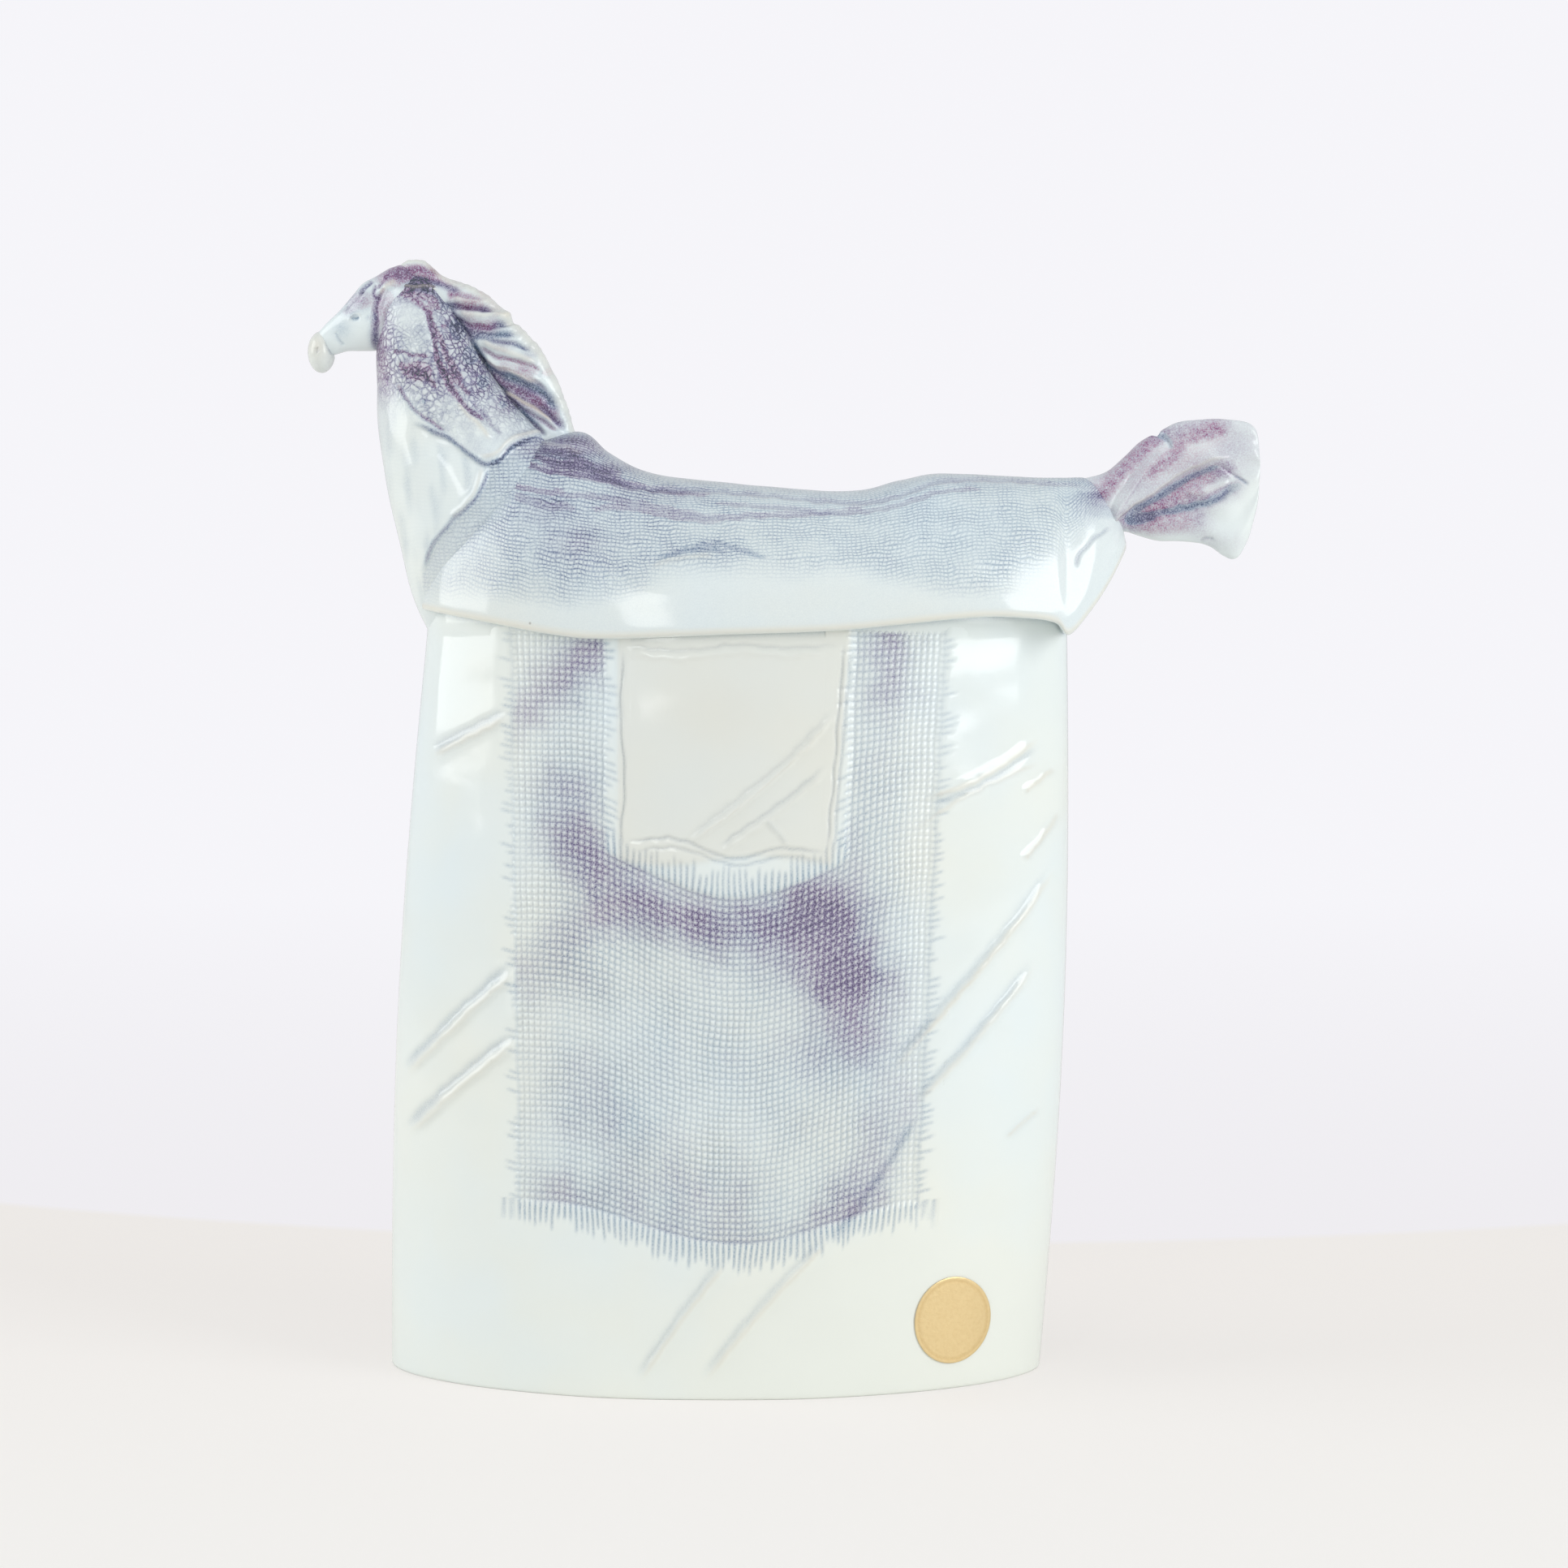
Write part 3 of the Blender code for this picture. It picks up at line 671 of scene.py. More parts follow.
def body_front(x, z):
    """How far the plain front lies from the middle plane: the half depth times
    (1 - t squared) to the edge power, where t is the share of the half width."""
    t = (x - body_middle(z)) / body_half_width(z)
    return body_half_depth(z) * np.clip(1 - t * t, 0, 1) ** EDGE_POWER


def trunk_end(side):
    """X of the trunk's chest end (side -1) or rump end (side +1)."""
    reach = RUMP_REACH if side > 0 else CHEST_REACH
    return body_middle(RIM_HEIGHT) + side * (SHOULDER_WIDTH / 2 + reach)


def trunk_point(share, up):
    """X and Z at a share of the trunk's length and a share of its rise above the rim."""
    return trunk_end(-1) + share * (trunk_end(1) - trunk_end(-1)), RIM_HEIGHT + up * TRUNK_RISE


def rim_height(x):
    """Height of the trunk's rim above x, read from its smooth outline."""
    rim = smooth_curve(RIM_LINE, 400)
    places, heights = trunk_point(rim[:, 0], rim[:, 1])
    return np.interp(x, places, heights)


print("foot", FOOT_WIDTH, "by", FOOT_DEPTH, "mm, shoulder", SHOULDER_WIDTH, "by", SHOULDER_DEPTH, "mm")


# %% Lower body: creases and window
BODY_MARKS = [
    mark([(-85.4, 191.8), (-73, 198.2), (-61.4, 203.8)], 0.9, 1.3, 0.10, 2.0, 0.1, 0.35),
    mark([(-85.9, 193.6), (-73, 200.4), (-61.4, 206.4)], -0.4, 1.1, 0.22, 1.5, 0.3),
    mark([(-94.2, 93.3), (-77, 111), (-58.8, 127.9)], 1.4, 1.3, 0.0, 2.0, 0.1, 0.25),
    mark([(-95.5, 95.2), (-78.5, 112.7), (-60.0, 130)], -0.7, 1.1, 0.30, 1.3, 0.1),
    mark([(-93.6, 75.2), (-76, 92), (-57.6, 107.2)], 1.4, 1.3, 0.0, 2.0, 0.1, 0.25),
    mark([(-95, 77), (-77.4, 93.8), (-59, 109.2)], -0.7, 1.1, 0.30, 1.3, 0.1),
    mark([(-64, 131), (-60, 122), (-58.5, 112)], 0.5, 1.6, 0.0, 1.0, 0.1),
    mark([(64.8, 179.8), (82, 186), (99.6, 197.1)], 0.9, 1.1, 0.0, 1.6, 0.1, 0.4),
    mark([(66, 178), (83, 184.2), (99.6, 195)], -0.4, 0.9, 0.22, 1.1, 0.1),
    mark([(62, 171), (78, 181), (99.6, 190)], 0.5, 1.0, 0.05, 1.6, 0.1, 0.3),
    mark([(95.1, 181.3), (100, 184.4), (104.9, 188.1)], 0.8, 1.0, 0.05, 1.6, 0.1, 0.4),
    mark([(95.2, 160.2), (101, 167), (106.3, 174.3)], 1.0, 1.1, 0.1, 1.6, 0.1, 0.4),
    mark([(55.1, 98.2), (89.7, 137.1), (105.1, 156.9)], 1.2, 1.1, 0.0, 1.6, 0.1, 0.45),
    mark([(53.6, 99.6), (88.2, 138.5), (103.6, 158.2)], -0.5, 0.9, 0.16, 1.2, 0.0),
    mark([(62.5, 88.1), (80, 106), (98.7, 127.6)], 1.1, 1.1, 0.0, 1.6, 0.1, 0.3),
    mark([(61.4, 89.6), (78.9, 107.5), (97.6, 129.1)], -0.5, 0.9, 0.20, 1.2, 0.0),
    mark([(89.9, 76), (95, 79.5), (100.2, 83.4)], 0.7, 0.9, 0.05, 1.6, 0.1, 0.3),
    mark([(5.4, 41.8), (-8, 24), (-20.3, 6)], 0.8, 1.1, 0.0, 1.6, 0.1, 0.3),
    mark([(3.8, 42.4), (-9.6, 24.6), (-21.9, 6.6)], -0.4, 0.9, 0.16, 1.2, 0.0),
    mark([(35.7, 47.4), (17, 28), (-0.7, 6.4)], 0.9, 1.1, 0.0, 1.6, 0.1, 0.3),
    mark([(33.9, 48), (15.2, 28.6), (-2.5, 7)], -0.4, 0.9, 0.16, 1.2, 0.0),
    mark([(62, 84), (52, 68), (44, 57), (36.6, 47)], -0.5, 0.9, 0.4, 1.5, 0.9),
]
WINDOW_MARKS = [
    mark([(-5.6, 166.9), (14, 182), (27, 193.5), (38, 205.6)], 0.8, 0.7, 0.0, 1.0, 0.2, 0.45),
    mark([(-6.6, 168.6), (13, 183.8), (26, 195.3), (37, 207)], -0.3, 0.7, 0.14, 0.9, 0.1),
    mark([(4.1, 164.6), (20, 176), (35.6, 188.7)], 0.7, 0.7, 0.0, 1.0, 0.2, 0.2),
    mark([(3.1, 166.2), (19, 177.6), (34.8, 190.1)], -0.3, 0.6, 0.22, 0.7, 0.1),
    mark([(17.4, 174.3), (20, 171), (23.5, 167)], 0.5, 0.6, 0.12, 0.7, 0.2, 0.15),
    mark([(-25.6, 225), (-26.4, 205), (-25.2, 186), (-26.2, 168), (-24, 165)],
         -0.5, 0.5, 0.28, 0.5, 0.2),
    mark([(40.4, 227), (38.6, 205), (37.2, 186), (35.1, 163.5)], -0.5, 0.5, 0.28, 0.5, 0.2),
    mark([(42.4, 227), (40.6, 205), (38.9, 186), (37.1, 162.5)], -0.45, 0.5, 0.24, 0.5, 0.2),
    mark([(-25, 167.5), (-9.5, 168.4), (7, 162.6), (21, 165.8), (36, 164.2)],
         -0.5, 0.5, 0.30, 0.5, 0.2),
    mark([(-22, 164.6), (-9, 165.8), (8, 160.6), (22, 163.2), (35, 161.8)], -0.4, 0.45, 0.22, 0.5, 0.2),
    mark([(-25, 226.2), (-8, 224.6), (8, 226.4), (24, 225.4), (40, 226.4)],
         -0.5, 0.6, 0.14, 0.6, 0.2, 0.1),
    mark([(-25, 223.8), (-8, 222.4), (8, 224.2), (24, 223.2), (38, 224.2)], 0.45, 0.8, 0.0, 1.0, 0.2),
]


def window_share(x, z):
    """1 inside the plain window, 0 outside it: the product of three soft steps, at the left, the right and
    the bottom.
    """
    left = step(x, -28.5, -26.0)
    right = step(-x, -(43.5 - 0.075 * (RIM_HEIGHT - z)), -(41.0 - 0.075 * (RIM_HEIGHT - z)))
    return left * right * step(z, 160.5 + 1.5 * np.sin(x / 9), 163.5 + 1.5 * np.sin(x / 9))


def front_height(x, z):
    """Relief of the plain front in mm, and its pool, violet and thin amounts."""
    relief, pool, violet, thin = read_marks(x, z, BODY_MARKS)
    window = window_share(x, z)
    near = (np.abs(x - 7) < 40) & (z > 155)
    inside = [np.zeros(x.shape) for _ in range(4)]
    for k, part in enumerate(read_marks(x[near], z[near], WINDOW_MARKS)):
        inside[k][near] = part
    relief = relief + inside[0] + 0.5 * window
    worn = 0.34 + 0.14 * patches(x, z, [(3, 206, 18, 13, 1.0)])
    relief = relief + 0.35 * ripple(x, z, 70, 3) + 0.12 * ripple(x, z, 22, 4)
    pool = 1 - (1 - pool) * (1 - np.clip(1.35 * inside[1], 0, 1))
    violet = np.where(inside[1] > 0.05, 0, violet)
    return relief, pool, violet, np.maximum(np.maximum(thin, inside[3]), worn * window)


print(len(BODY_MARKS), "creases on the body and", len(WINDOW_MARKS), "lines on the window")

# %% [markdown]
# ## The cloth's threads
# The print is of a torn square of burlap with a square hole round the window. Its cross threads
# run level beside the window and hang in a bow below it. So each place on the front gets two
# numbers, how many threads across and how many down. Everything about the print depends on them:
# the grooves, the torn fringe, and the mesh of the print itself.

# %% Thread counts
CLOTH_TOP = 231.0
THREAD_DROP = 2.0
THREADS_ACROSS = 70
THREADS_DOWN = 86.5
HOLE = (15.6, 55.2, 31.5)
SAG_AT = [(0, 0), (30, 17), (60, 14.5), (THREADS_DOWN, 11.5), (100, 11)]
SIDE_ROOM = 5.2
DOWN_ROOM = 7.2
HOLE_ROOM = 4.8
UP_ROOM = 6.8
PATCH_DEPTH = 1.3
LEFT_EDGE = (-60.2, -57.4)
RIGHT_EDGE = (70.8, 62.6)


def cloth_place(u, v):
    """X and Z of a thread crossing: u counts across between the two sloping edges, v counts
    down in even steps, and the bow is a cosine hump times the sag of that row."""
    share = v / THREADS_DOWN
    left = LEFT_EDGE[0] + (LEFT_EDGE[1] - LEFT_EDGE[0]) * share
    right = RIGHT_EDGE[0] + (RIGHT_EDGE[1] - RIGHT_EDGE[0]) * share
    x = left + (right - left) * u / THREADS_ACROSS
    sag = np.interp(v, [p[0] for p in SAG_AT], [p[1] for p in SAG_AT])
    hump = 0.5 + 0.5 * np.cos(math.pi * np.clip((x - 8) / 56, -1, 1))
    return x, CLOTH_TOP - THREAD_DROP * v - sag * hump


def thread_counts(x, z):
    """The other way round: from x and z to the thread counts, by eight rounds of correction."""
    v = (CLOTH_TOP - z) / THREAD_DROP
    u = np.zeros(np.shape(x))
    for _ in range(8):
        left, _ = cloth_place(np.zeros(np.shape(x)), v)
        right, _ = cloth_place(np.full(np.shape(x), float(THREADS_ACROSS)), v)
        u = (x - left) / (right - left) * THREADS_ACROSS
        _, at = cloth_place(u, v)
        v = v + (at - z) / THREAD_DROP * 0.8
    return u, v


def cloth_share(u, v):
    """1 on the cloth and 0 off it or in its hole: a product of soft steps at each edge."""
    width = step(u, -0.6, 0.6) * step(THREADS_ACROSS - u, -0.6, 0.6)
    whole = width * step(THREADS_DOWN - v, -0.6, 0.6)
    across = step(u, HOLE[0] - 0.6, HOLE[0] + 0.6) * step(-u, -HOLE[1] - 0.6, -HOLE[1] + 0.6)
    return whole * (1 - across * step(-v, -HOLE[2] - 0.6, -HOLE[2] + 0.6))


def patch_edge(u, v):
    """How many threads a place lies inside the border of the print's patch. The patch reaches
    past the cloth by the length of its torn threads, outside and into the hole."""
    sides = np.minimum(u + SIDE_ROOM, THREADS_ACROSS + SIDE_ROOM - u)
    outer = np.minimum(sides, THREADS_DOWN + DOWN_ROOM - v)
    hole_sides = np.maximum(HOLE[0] + HOLE_ROOM - u, u - HOLE[1] + HOLE_ROOM)
    return np.minimum(outer, np.maximum(hole_sides, v - HOLE[2] + UP_ROOM))


def patch_share(u, v):
    """1 under the patch, where the body lies deeper, and 0 from its border outwards."""
    return step(patch_edge(u, v), 1.7, 2.7)


lowest = cloth_place(np.array(THREADS_ACROSS / 2), np.array(THREADS_DOWN))
print("middle of the lower edge at", [round(float(c), 1) for c in lowest])


# %% Lower body: surface
def lower_body():
    """Rings from the foot up into the trunk. The near side carries the relief and lies deeper
    under the print. The foot is rounded, and its flat underside leads to the vent hole."""
    t_near = spread(-1, 1, NEAR_POINTS, [(-1, -0.9, 1.6), (0.9, 1, 1.6), (-0.38, 0.36, 0.7)])
    t_far = spread(-1, 1, FAR_POINTS, [(-1, -0.9, 2.0), (0.9, 1, 2.0)])[::-1][1:-1]
    z = spread(1.2, RIM_HEIGHT + RIM_LAP, BODY_RINGS, [(158, RIM_HEIGHT, 0.7)])[:, None]
    t = np.concatenate([t_near, t_far])[None, :]
    side = np.concatenate([-np.ones(len(t_near)), np.ones(len(t_far))])[None, :]
    x = body_middle(z) + t * body_half_width(z)
    shape = np.clip(1 - t * t, 0, 1) ** EDGE_POWER
    zz = z + 0 * x
    relief, pool, violet, thin = front_height(x, zz)
    u, v = thread_counts(x, zz)
    relief = relief - PATCH_DEPTH * patch_share(u, v)
    front = (side < 0) * step(shape * body_half_depth(z), 0, 18) * step(RIM_HEIGHT + 4 - z, 0, 4)
    plain = 0.3 * ripple(x, zz, 80, 5) * step(shape, 0.2, 0.6)
    y = side * body_half_depth(z) * shape - relief * front + plain * (side > 0)
    body = np.stack([x + 0 * y, y, zz], axis=-1)
    rows = [body[0] * (1 - k, 1 - k, 0) + (0, 0, h) for k, h in ((0.013, 0), (0.004, 0.25), (0.001, 0.7))]
    angle = np.arctan2(rows[0][:, 1], rows[0][:, 0] - VENT_FROM_MIDDLE)
    circle = np.stack([VENT_FROM_MIDDLE + VENT_RADIUS * np.cos(angle), VENT_RADIUS * np.sin(angle),
                       0 * angle], axis=-1)
    between = [circle + (rows[0] - circle) * k for k in (0.25, 0.5, 0.75)]
    flat = [circle + (0, 0, VENT_DEPTH), circle] + between
    rings = np.concatenate([np.array(flat + rows), body])
    extra = len(flat) + len(rows)
    values = {"pool": pool * front, "violet": violet, "thin": thin * front}
    values = {k: np.concatenate([np.zeros((extra, x.shape[1])), a]) for k, a in values.items()}
    # A dark band along the whole rim, just under the trunk's overhang: partly glaze gathered in the joint,
    # partly painted shade of the overhang.
    under_rim_pool_and_shade = 0.35 * bell(zz - rim_height(x) - 0.8, 1.5)
    values["pool"][extra:] = np.maximum(values["pool"][extra:], under_rim_pool_and_shade)
    return ring_piece("glazed_lower_body", rings, values, glaze)


lower_body()

# %% [markdown]
# ## The cloth print
# Burlap pressed into soft clay leaves a groove for every thread and a raised dot in every mesh of
# the weave, and the glaze gathers in the grooves. The print is a patch of its own whose grid
# follows the threads, four points for each, so that every dot is real geometry. A displacement
# texture would need a far denser body to do the same. The torn edge shows as single threads.

# %% Print: grooves and fringe
POINTS_PER_THREAD = 4
COARSE_STEP = 0.6
CLOTH_PRESS = 0.45
TORN_GROOVE = 0.35
DEEPER_ON_CLOTH = 0.25
rng = np.random.default_rng(11)
SIDE_LENGTH = rng.uniform(0.2, 2.8, (4, 120))
DOWN_LENGTH = rng.uniform(2.4, 4.5, (2, 120))
DOT_SIZE = rng.uniform(0.6, 1.2, (121, 121))
STAINS = [
    ([(-33, 230), (-38, 221), (-50, 211), (-61, 203)], 8.5, 0.6),
    ([(-35, 222), (-43, 221)], 7, 0.4),
    ([(-43, 181), (-41, 169), (-33, 158), (-20, 149), (-2, 143), (16, 141), (34, 141)], 12, 0.62),
    ([(-42, 170), (-33, 158), (-18, 148), (4, 141)], 7, 0.3),
    ([(33, 148), (37, 136), (41, 125), (43, 114)], 16, 0.72),
    ([(36, 142), (41, 126)], 11, 0.55),
    ([(54, 228), (55, 214)], 8, 0.5),
    ([(53, 228), (54, 206), (50, 186), (44, 166)], 10, 0.22),
    ([(-60, 127), (-46, 136), (-33, 146)], 9, 0.36),
    ([(-54, 125), (-40, 126)], 9, 0.22),
    ([(-38, 92), (-29, 80), (-14, 67), (4, 60)], 14, 0.32),
    ([(-46, 60), (-20, 50), (8, 45), (30, 50), (44, 58)], 9, 0.36),
    ([(57, 90), (51, 73), (40, 55)], 9, 0.42),
    ([(-58, 76), (-50, 62)], 8, 0.15),
    ([(-10, 110), (16, 100), (34, 92)], 16, 0.1),
]


def fringe(away, lengths, count, other):
    """Single threads past an edge: the strength of the groove at a distance from the edge, for
    the thread whose number is nearest, until its own random length is used up."""
    number = np.clip(np.round(count).astype(int), 0, 119)
    line = (0.5 + 0.5 * np.cos(2 * math.pi * other)) ** 1.3
    return step(lengths[number] - away, -0.2, 0.8) * line * (1 - 0.1 * np.clip(away, 0, 5))


def print_grooves(u, v, stain):
    """How deep the groove is at thread counts u and v, from 0 to 1: on the cloth the two sets of
    grooves join as 1 - (1 - a)(1 - b), and past its edges only the torn threads are left. Grooves
    are wider where the stain is strong."""
    inside = cloth_share(u, v)
    dot = DOT_SIZE[np.clip(np.floor(u), 0, 120).astype(int), np.clip(np.floor(v), 0, 120).astype(int)]
    sharp = 2.1 - 1.35 * stain
    warp = (0.5 + 0.5 * np.cos(2 * math.pi * u)) ** (dot * sharp)
    weft = (0.5 + 0.5 * np.cos(2 * math.pi * v)) ** ((1.5 - 0.6 * dot) * sharp)
    weave = 1 - (1 - warp) * (1 - weft)
    on_rows = (v < THREADS_DOWN + 1) & (inside < 0.9)
    in_hole = (u > HOLE[0] - 1) & (u < HOLE[1] + 1) & (v < HOLE[2] + 1)
    droop = v + 0.22 * np.clip(np.maximum(-u, u - THREADS_ACROSS), 0, 6)
    side = fringe(-u, SIDE_LENGTH[0], droop, droop) * (u < 0.3)
    side = side + fringe(u - THREADS_ACROSS, SIDE_LENGTH[1], droop, droop) * (u > THREADS_ACROSS - 0.3)
    hole = fringe(u - HOLE[0], SIDE_LENGTH[2] * 0.9, v, v) * (u < HOLE[0] + 6)
    hole = hole + fringe(HOLE[1] - u, SIDE_LENGTH[3] * 0.95, v, v) * (u > HOLE[1] - 6)
    sway = u + 0.3 * np.sin(u / 3.1) * np.clip(v - THREADS_DOWN, 0, 6) / 4
    down = fringe(v - THREADS_DOWN, DOWN_LENGTH[0], sway, sway) * (v > THREADS_DOWN - 0.3)
    lean = u + 0.25 * np.sin(u / 1.9) * np.clip(HOLE[2] - v, 0, 6) / 4
    up = fringe(HOLE[2] - v, DOWN_LENGTH[1], lean, lean) * (v > HOLE[2] - 6)
    torn = np.where(in_hole, np.maximum(hole, up), side * on_rows + down)
    return inside * weave + (1 - inside) * np.clip(torn, 0, 1), inside


def print_patch():
    """The patch over thread counts u and v. Its height is the plain front's relief, less the
    press of the cloth, less the grooves, and it dips under the body at its own edges."""
    coarse = np.arange(COARSE_STEP, SIDE_ROOM, COARSE_STEP)
    middle = np.arange(0, THREADS_ACROSS + 0.1, 1 / POINTS_PER_THREAD)
    u_line = np.concatenate([-coarse[::-1], middle, THREADS_ACROSS + coarse])
    down = np.arange(COARSE_STEP, DOWN_ROOM, COARSE_STEP) + THREADS_DOWN
    v_line = np.concatenate([np.arange(-2.75, THREADS_DOWN + 0.1, 1 / POINTS_PER_THREAD), down])
    u, v = np.meshgrid(u_line, v_line)
    wave_u = u + 0.16 * ripple(u, v, 14, 21) + 0.07 * ripple(u, v, 5, 22)
    wave_v = v + 0.16 * ripple(u, v, 14, 23) + 0.07 * ripple(u, v, 5, 24)
    x, z = cloth_place(wave_u, wave_v)
    shaken = x + 1.5 * ripple(x, z, 8, 32), z + 1.5 * ripple(x, z, 8, 37)
    stain = strokes(*shaken, STAINS)
    stain = np.clip(stain + 0.08 * ripple(x, z, 18, 33) + 0.05 * ripple(x, z, 7, 34), 0.0, 1.0)
    groove, inside = print_grooves(u, v, stain)
    relief, pool, _, thin = front_height(x, z)
    edge = patch_edge(u, v) - 0.4
    hole = edge < 0
    dip = 0.045 * (1 - step(edge, -0.4, 0.4)) - 0.014 * step(edge, -0.1, 0.6)
    strength = 0.8 + 0.3 * ripple(x, z, 26, 31)
    depth = (TORN_GROOVE + DEEPER_ON_CLOTH * inside) * groove * strength
    height = relief - CLOTH_PRESS * inside - depth - dip
    y = -(body_front(x, z) + height)
    border = 1 - step(np.minimum(u, THREADS_ACROSS - u), 0, 10)
    faint = (0.9 + 0.2 * ripple(x, z, 30, 36)) * (1 - 0.55 * border)
    faint = faint * (1 - 0.25 * step(z, 150, 200))
    shade = inside * (groove * (0.38 * faint + 0.60 * stain) + 0.14 * stain ** 1.5)
    below = step(v, 24, 32) * (0.25 + 0.75 * step(np.abs(u - THREADS_ACROSS / 2), 35.5, 34.5))
    shade = shade + (1 - inside) * groove * (0.28 + 0.34 * below + 0.35 * stain)
    values = {"pool": np.clip(1 - (1 - shade) * (1 - pool), 0, 1),
              "violet": np.clip(1.5 * stain - 0.15 + 0.12 * ripple(x, z, 30, 35), 0, 1.05) * inside,
              "thin": thin * (1 - 0.6 * inside)}
    index = np.arange(u.size).reshape(u.shape)
    quads = np.stack([index[:-1, :-1], index[:-1, 1:], index[1:, 1:], index[1:, :-1]], -1)
    keep = ~(hole[:-1, :-1] & hole[:-1, 1:] & hole[1:, 1:] & hole[1:, :-1])
    quads = quads[keep][:, ::-1]
    used = np.unique(quads)
    renumber = np.zeros(u.size, int)
    renumber[used] = np.arange(len(used))
    points = np.stack([x, y, z], -1).reshape(-1, 3)[used]
    values = {k: a.ravel()[used] for k, a in values.items()}
    piece = build("cloth_print", points, renumber[quads], np.zeros((0, 3), int), values, glaze)
    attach(piece, "root")
    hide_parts("ceramic_body")
    return piece


print_patch()

# %% [markdown]
# ## The trunk
# The upper slab laps over the lower body like a blanket, with a rounded rim that casts a thin
# shadow. It is a dome over a straight line: one parameter runs along the horse and the other from
# the near rim over the back to the far rim. Its outline curves are the CAD model's own, but for
# the rim at the rump, which follows the photograph a little more closely. Gauze was pressed over
# its upper part, and dark streaks run along the back.

# %% Trunk
RIM_OVERHANG = 3.4
RIM_ROUND = 1.6
TRUNK_RINGS = 330
BACK_POINTS = 270
BACK_LINE = [(0, 0.4), (0.028, 0.76), (0.073, 1.04), (0.142, 1.27), (0.225, 1.395), (0.268, 1.262),
             (0.314, 1.147), (0.372, 1.084), (0.5, 1.013), (0.615, 0.985), (0.68, 1.05), (0.75, 1.105),
             (0.9, 1.085), (0.95, 1.06), (0.985, 0.85), (1, 0.64)]
GAUZE_LIMIT = [(-95, 240), (-66, 241), (-28, 241), (-14, 247), (6, 248), (45, 248), (66, 243),
               (91, 241)]
TRUNK_MARKS = [
    mark([(-60.2, 282.3), (-51.5, 279), (-39.5, 277.2), (-19.8, 273.6), (0, 271)],
         -0.5, 0.7, 0.8, 0.8, 0.95),
    mark([(-60, 285.6), (-50.4, 282), (-40.6, 280.4), (-29.7, 278)], -0.5, 0.6, 0.8, 0.7, 0.95),
    mark([(-58, 287.6), (-48, 286.4), (-38, 283.6)], 0.4, 0.8, 0.0, 1.0, 0.5, 0.12),
    mark([(-63.5, 275), (-52.6, 272.4), (-43.9, 271.8)], -0.3, 0.7, 0.5, 0.8, 0.95),
    mark([(-52, 281), (-40, 279.5), (-30, 276), (-22, 274.5)], -0.4, 0.8, 0.8, 1.1, 0.9),
    mark([(-54, 285.5), (-44, 283.5), (-34, 279.5), (-27, 277.5)], -0.4, 0.8, 0.8, 1.1, 0.9),
    mark([(-33.6, 273.2), (-16, 273.6), (0, 272.2), (24, 270), (47, 268.5), (60, 271.5), (71, 275.2),
          (90, 276), (118, 273.5)], -0.4, 0.6, 0.42, 0.6, 0.5),
    mark([(-47.4, 271.2), (-34, 270.6), (-19.8, 268.3), (0, 264.3), (16, 264.6), (31.4, 265.3),
          (47, 267.3)], -0.4, 0.7, 0.45, 0.7, 0.7),
    mark([(-36, 267), (-24, 267.4), (-10, 264.5), (4, 262.5)], -0.3, 0.8, 0.4, 1.0, 0.8),
    mark([(0, 268.5), (20, 267), (40, 265.5), (56, 267.5), (68, 271.5), (84, 273.5)],
         -0.3, 0.6, 0.4, 0.6, 0.6),
    mark([(-60, 271), (-50, 268), (-40, 267.5)], -0.3, 1.0, 0.4, 1.2, 0.7),
    mark([(-15.9, 251.4), (-12, 253), (-8, 254.4), (0, 255), (5.8, 253.4)], -0.5, 0.7, 0.6, 0.8, 0.2),
    mark([(-4, 256.6), (4, 256.2), (12, 253.6), (18, 252)], -0.4, 0.6, 0.5, 0.7, 0.2),
    mark([(-17, 249.6), (-8, 252.2), (2, 252.8)], 0.5, 0.9, 0.0, 1.0, 0.2, 0.2),
    mark([(121.3, 261.4), (116, 257.9), (111.6, 253.5), (110.3, 249)], -0.5, 0.6, 0.35, 0.6, 0.4),
]


def back_glaze(x, z):
    """Pool, violet and gauze of the upper slabs, from x and z alone so that trunk and neck agree.
    The gauze ends softly above the rim and before the rump. Blots of violet lie under its top."""
    limit = np.interp(x, [p[0] for p in GAUZE_LIMIT], [p[1] for p in GAUZE_LIMIT])
    covered = step(z - limit + 1.6 * ripple(x, z, 22, 42), -4, 6)
    covered = covered * (1 - step(x - 1.2 * (z - 258), 98, 116))
    blots = patches(x, z, [(-44, 286, 13, 4, 0.85), (-32, 280, 9, 3, 0.45),
                           (-16, 271.6, 16, 2.6, 0.25), (-41, 257, 11, 6, 0.28),
                           (-50, 267, 10, 7, 0.28), (85, 275, 34, 2.4, 0.12), (120, 271, 8, 6, 0.8)])
    left = 1 - step(x, -30, 40)
    streaks = np.clip(0.5 + 0.8 * ripple(0.14 * x + 0.3 * z, z, 4.5, 45), 0, 1)
    pool = 0.09 + covered * (0.04 + 0.06 * left) + blots * (0.30 + 0.52 * streaks)
    violet = np.clip(0.2 * left * covered + 1.2 * blots, 0, 1)
    # Beside the chest the gauze fades to a third: a painted highlight on the trunk there.
    chest_highlight_fade = 1 - 0.65 * (1 - step(x, -86, -58)) * (1 - step(z, 262, 284))
    gauze = covered * chest_highlight_fade * (0.50 + 0.13 * left + 0.02 * step(z, 256, 270))
    return np.clip(pool, 0, 1), violet, gauze


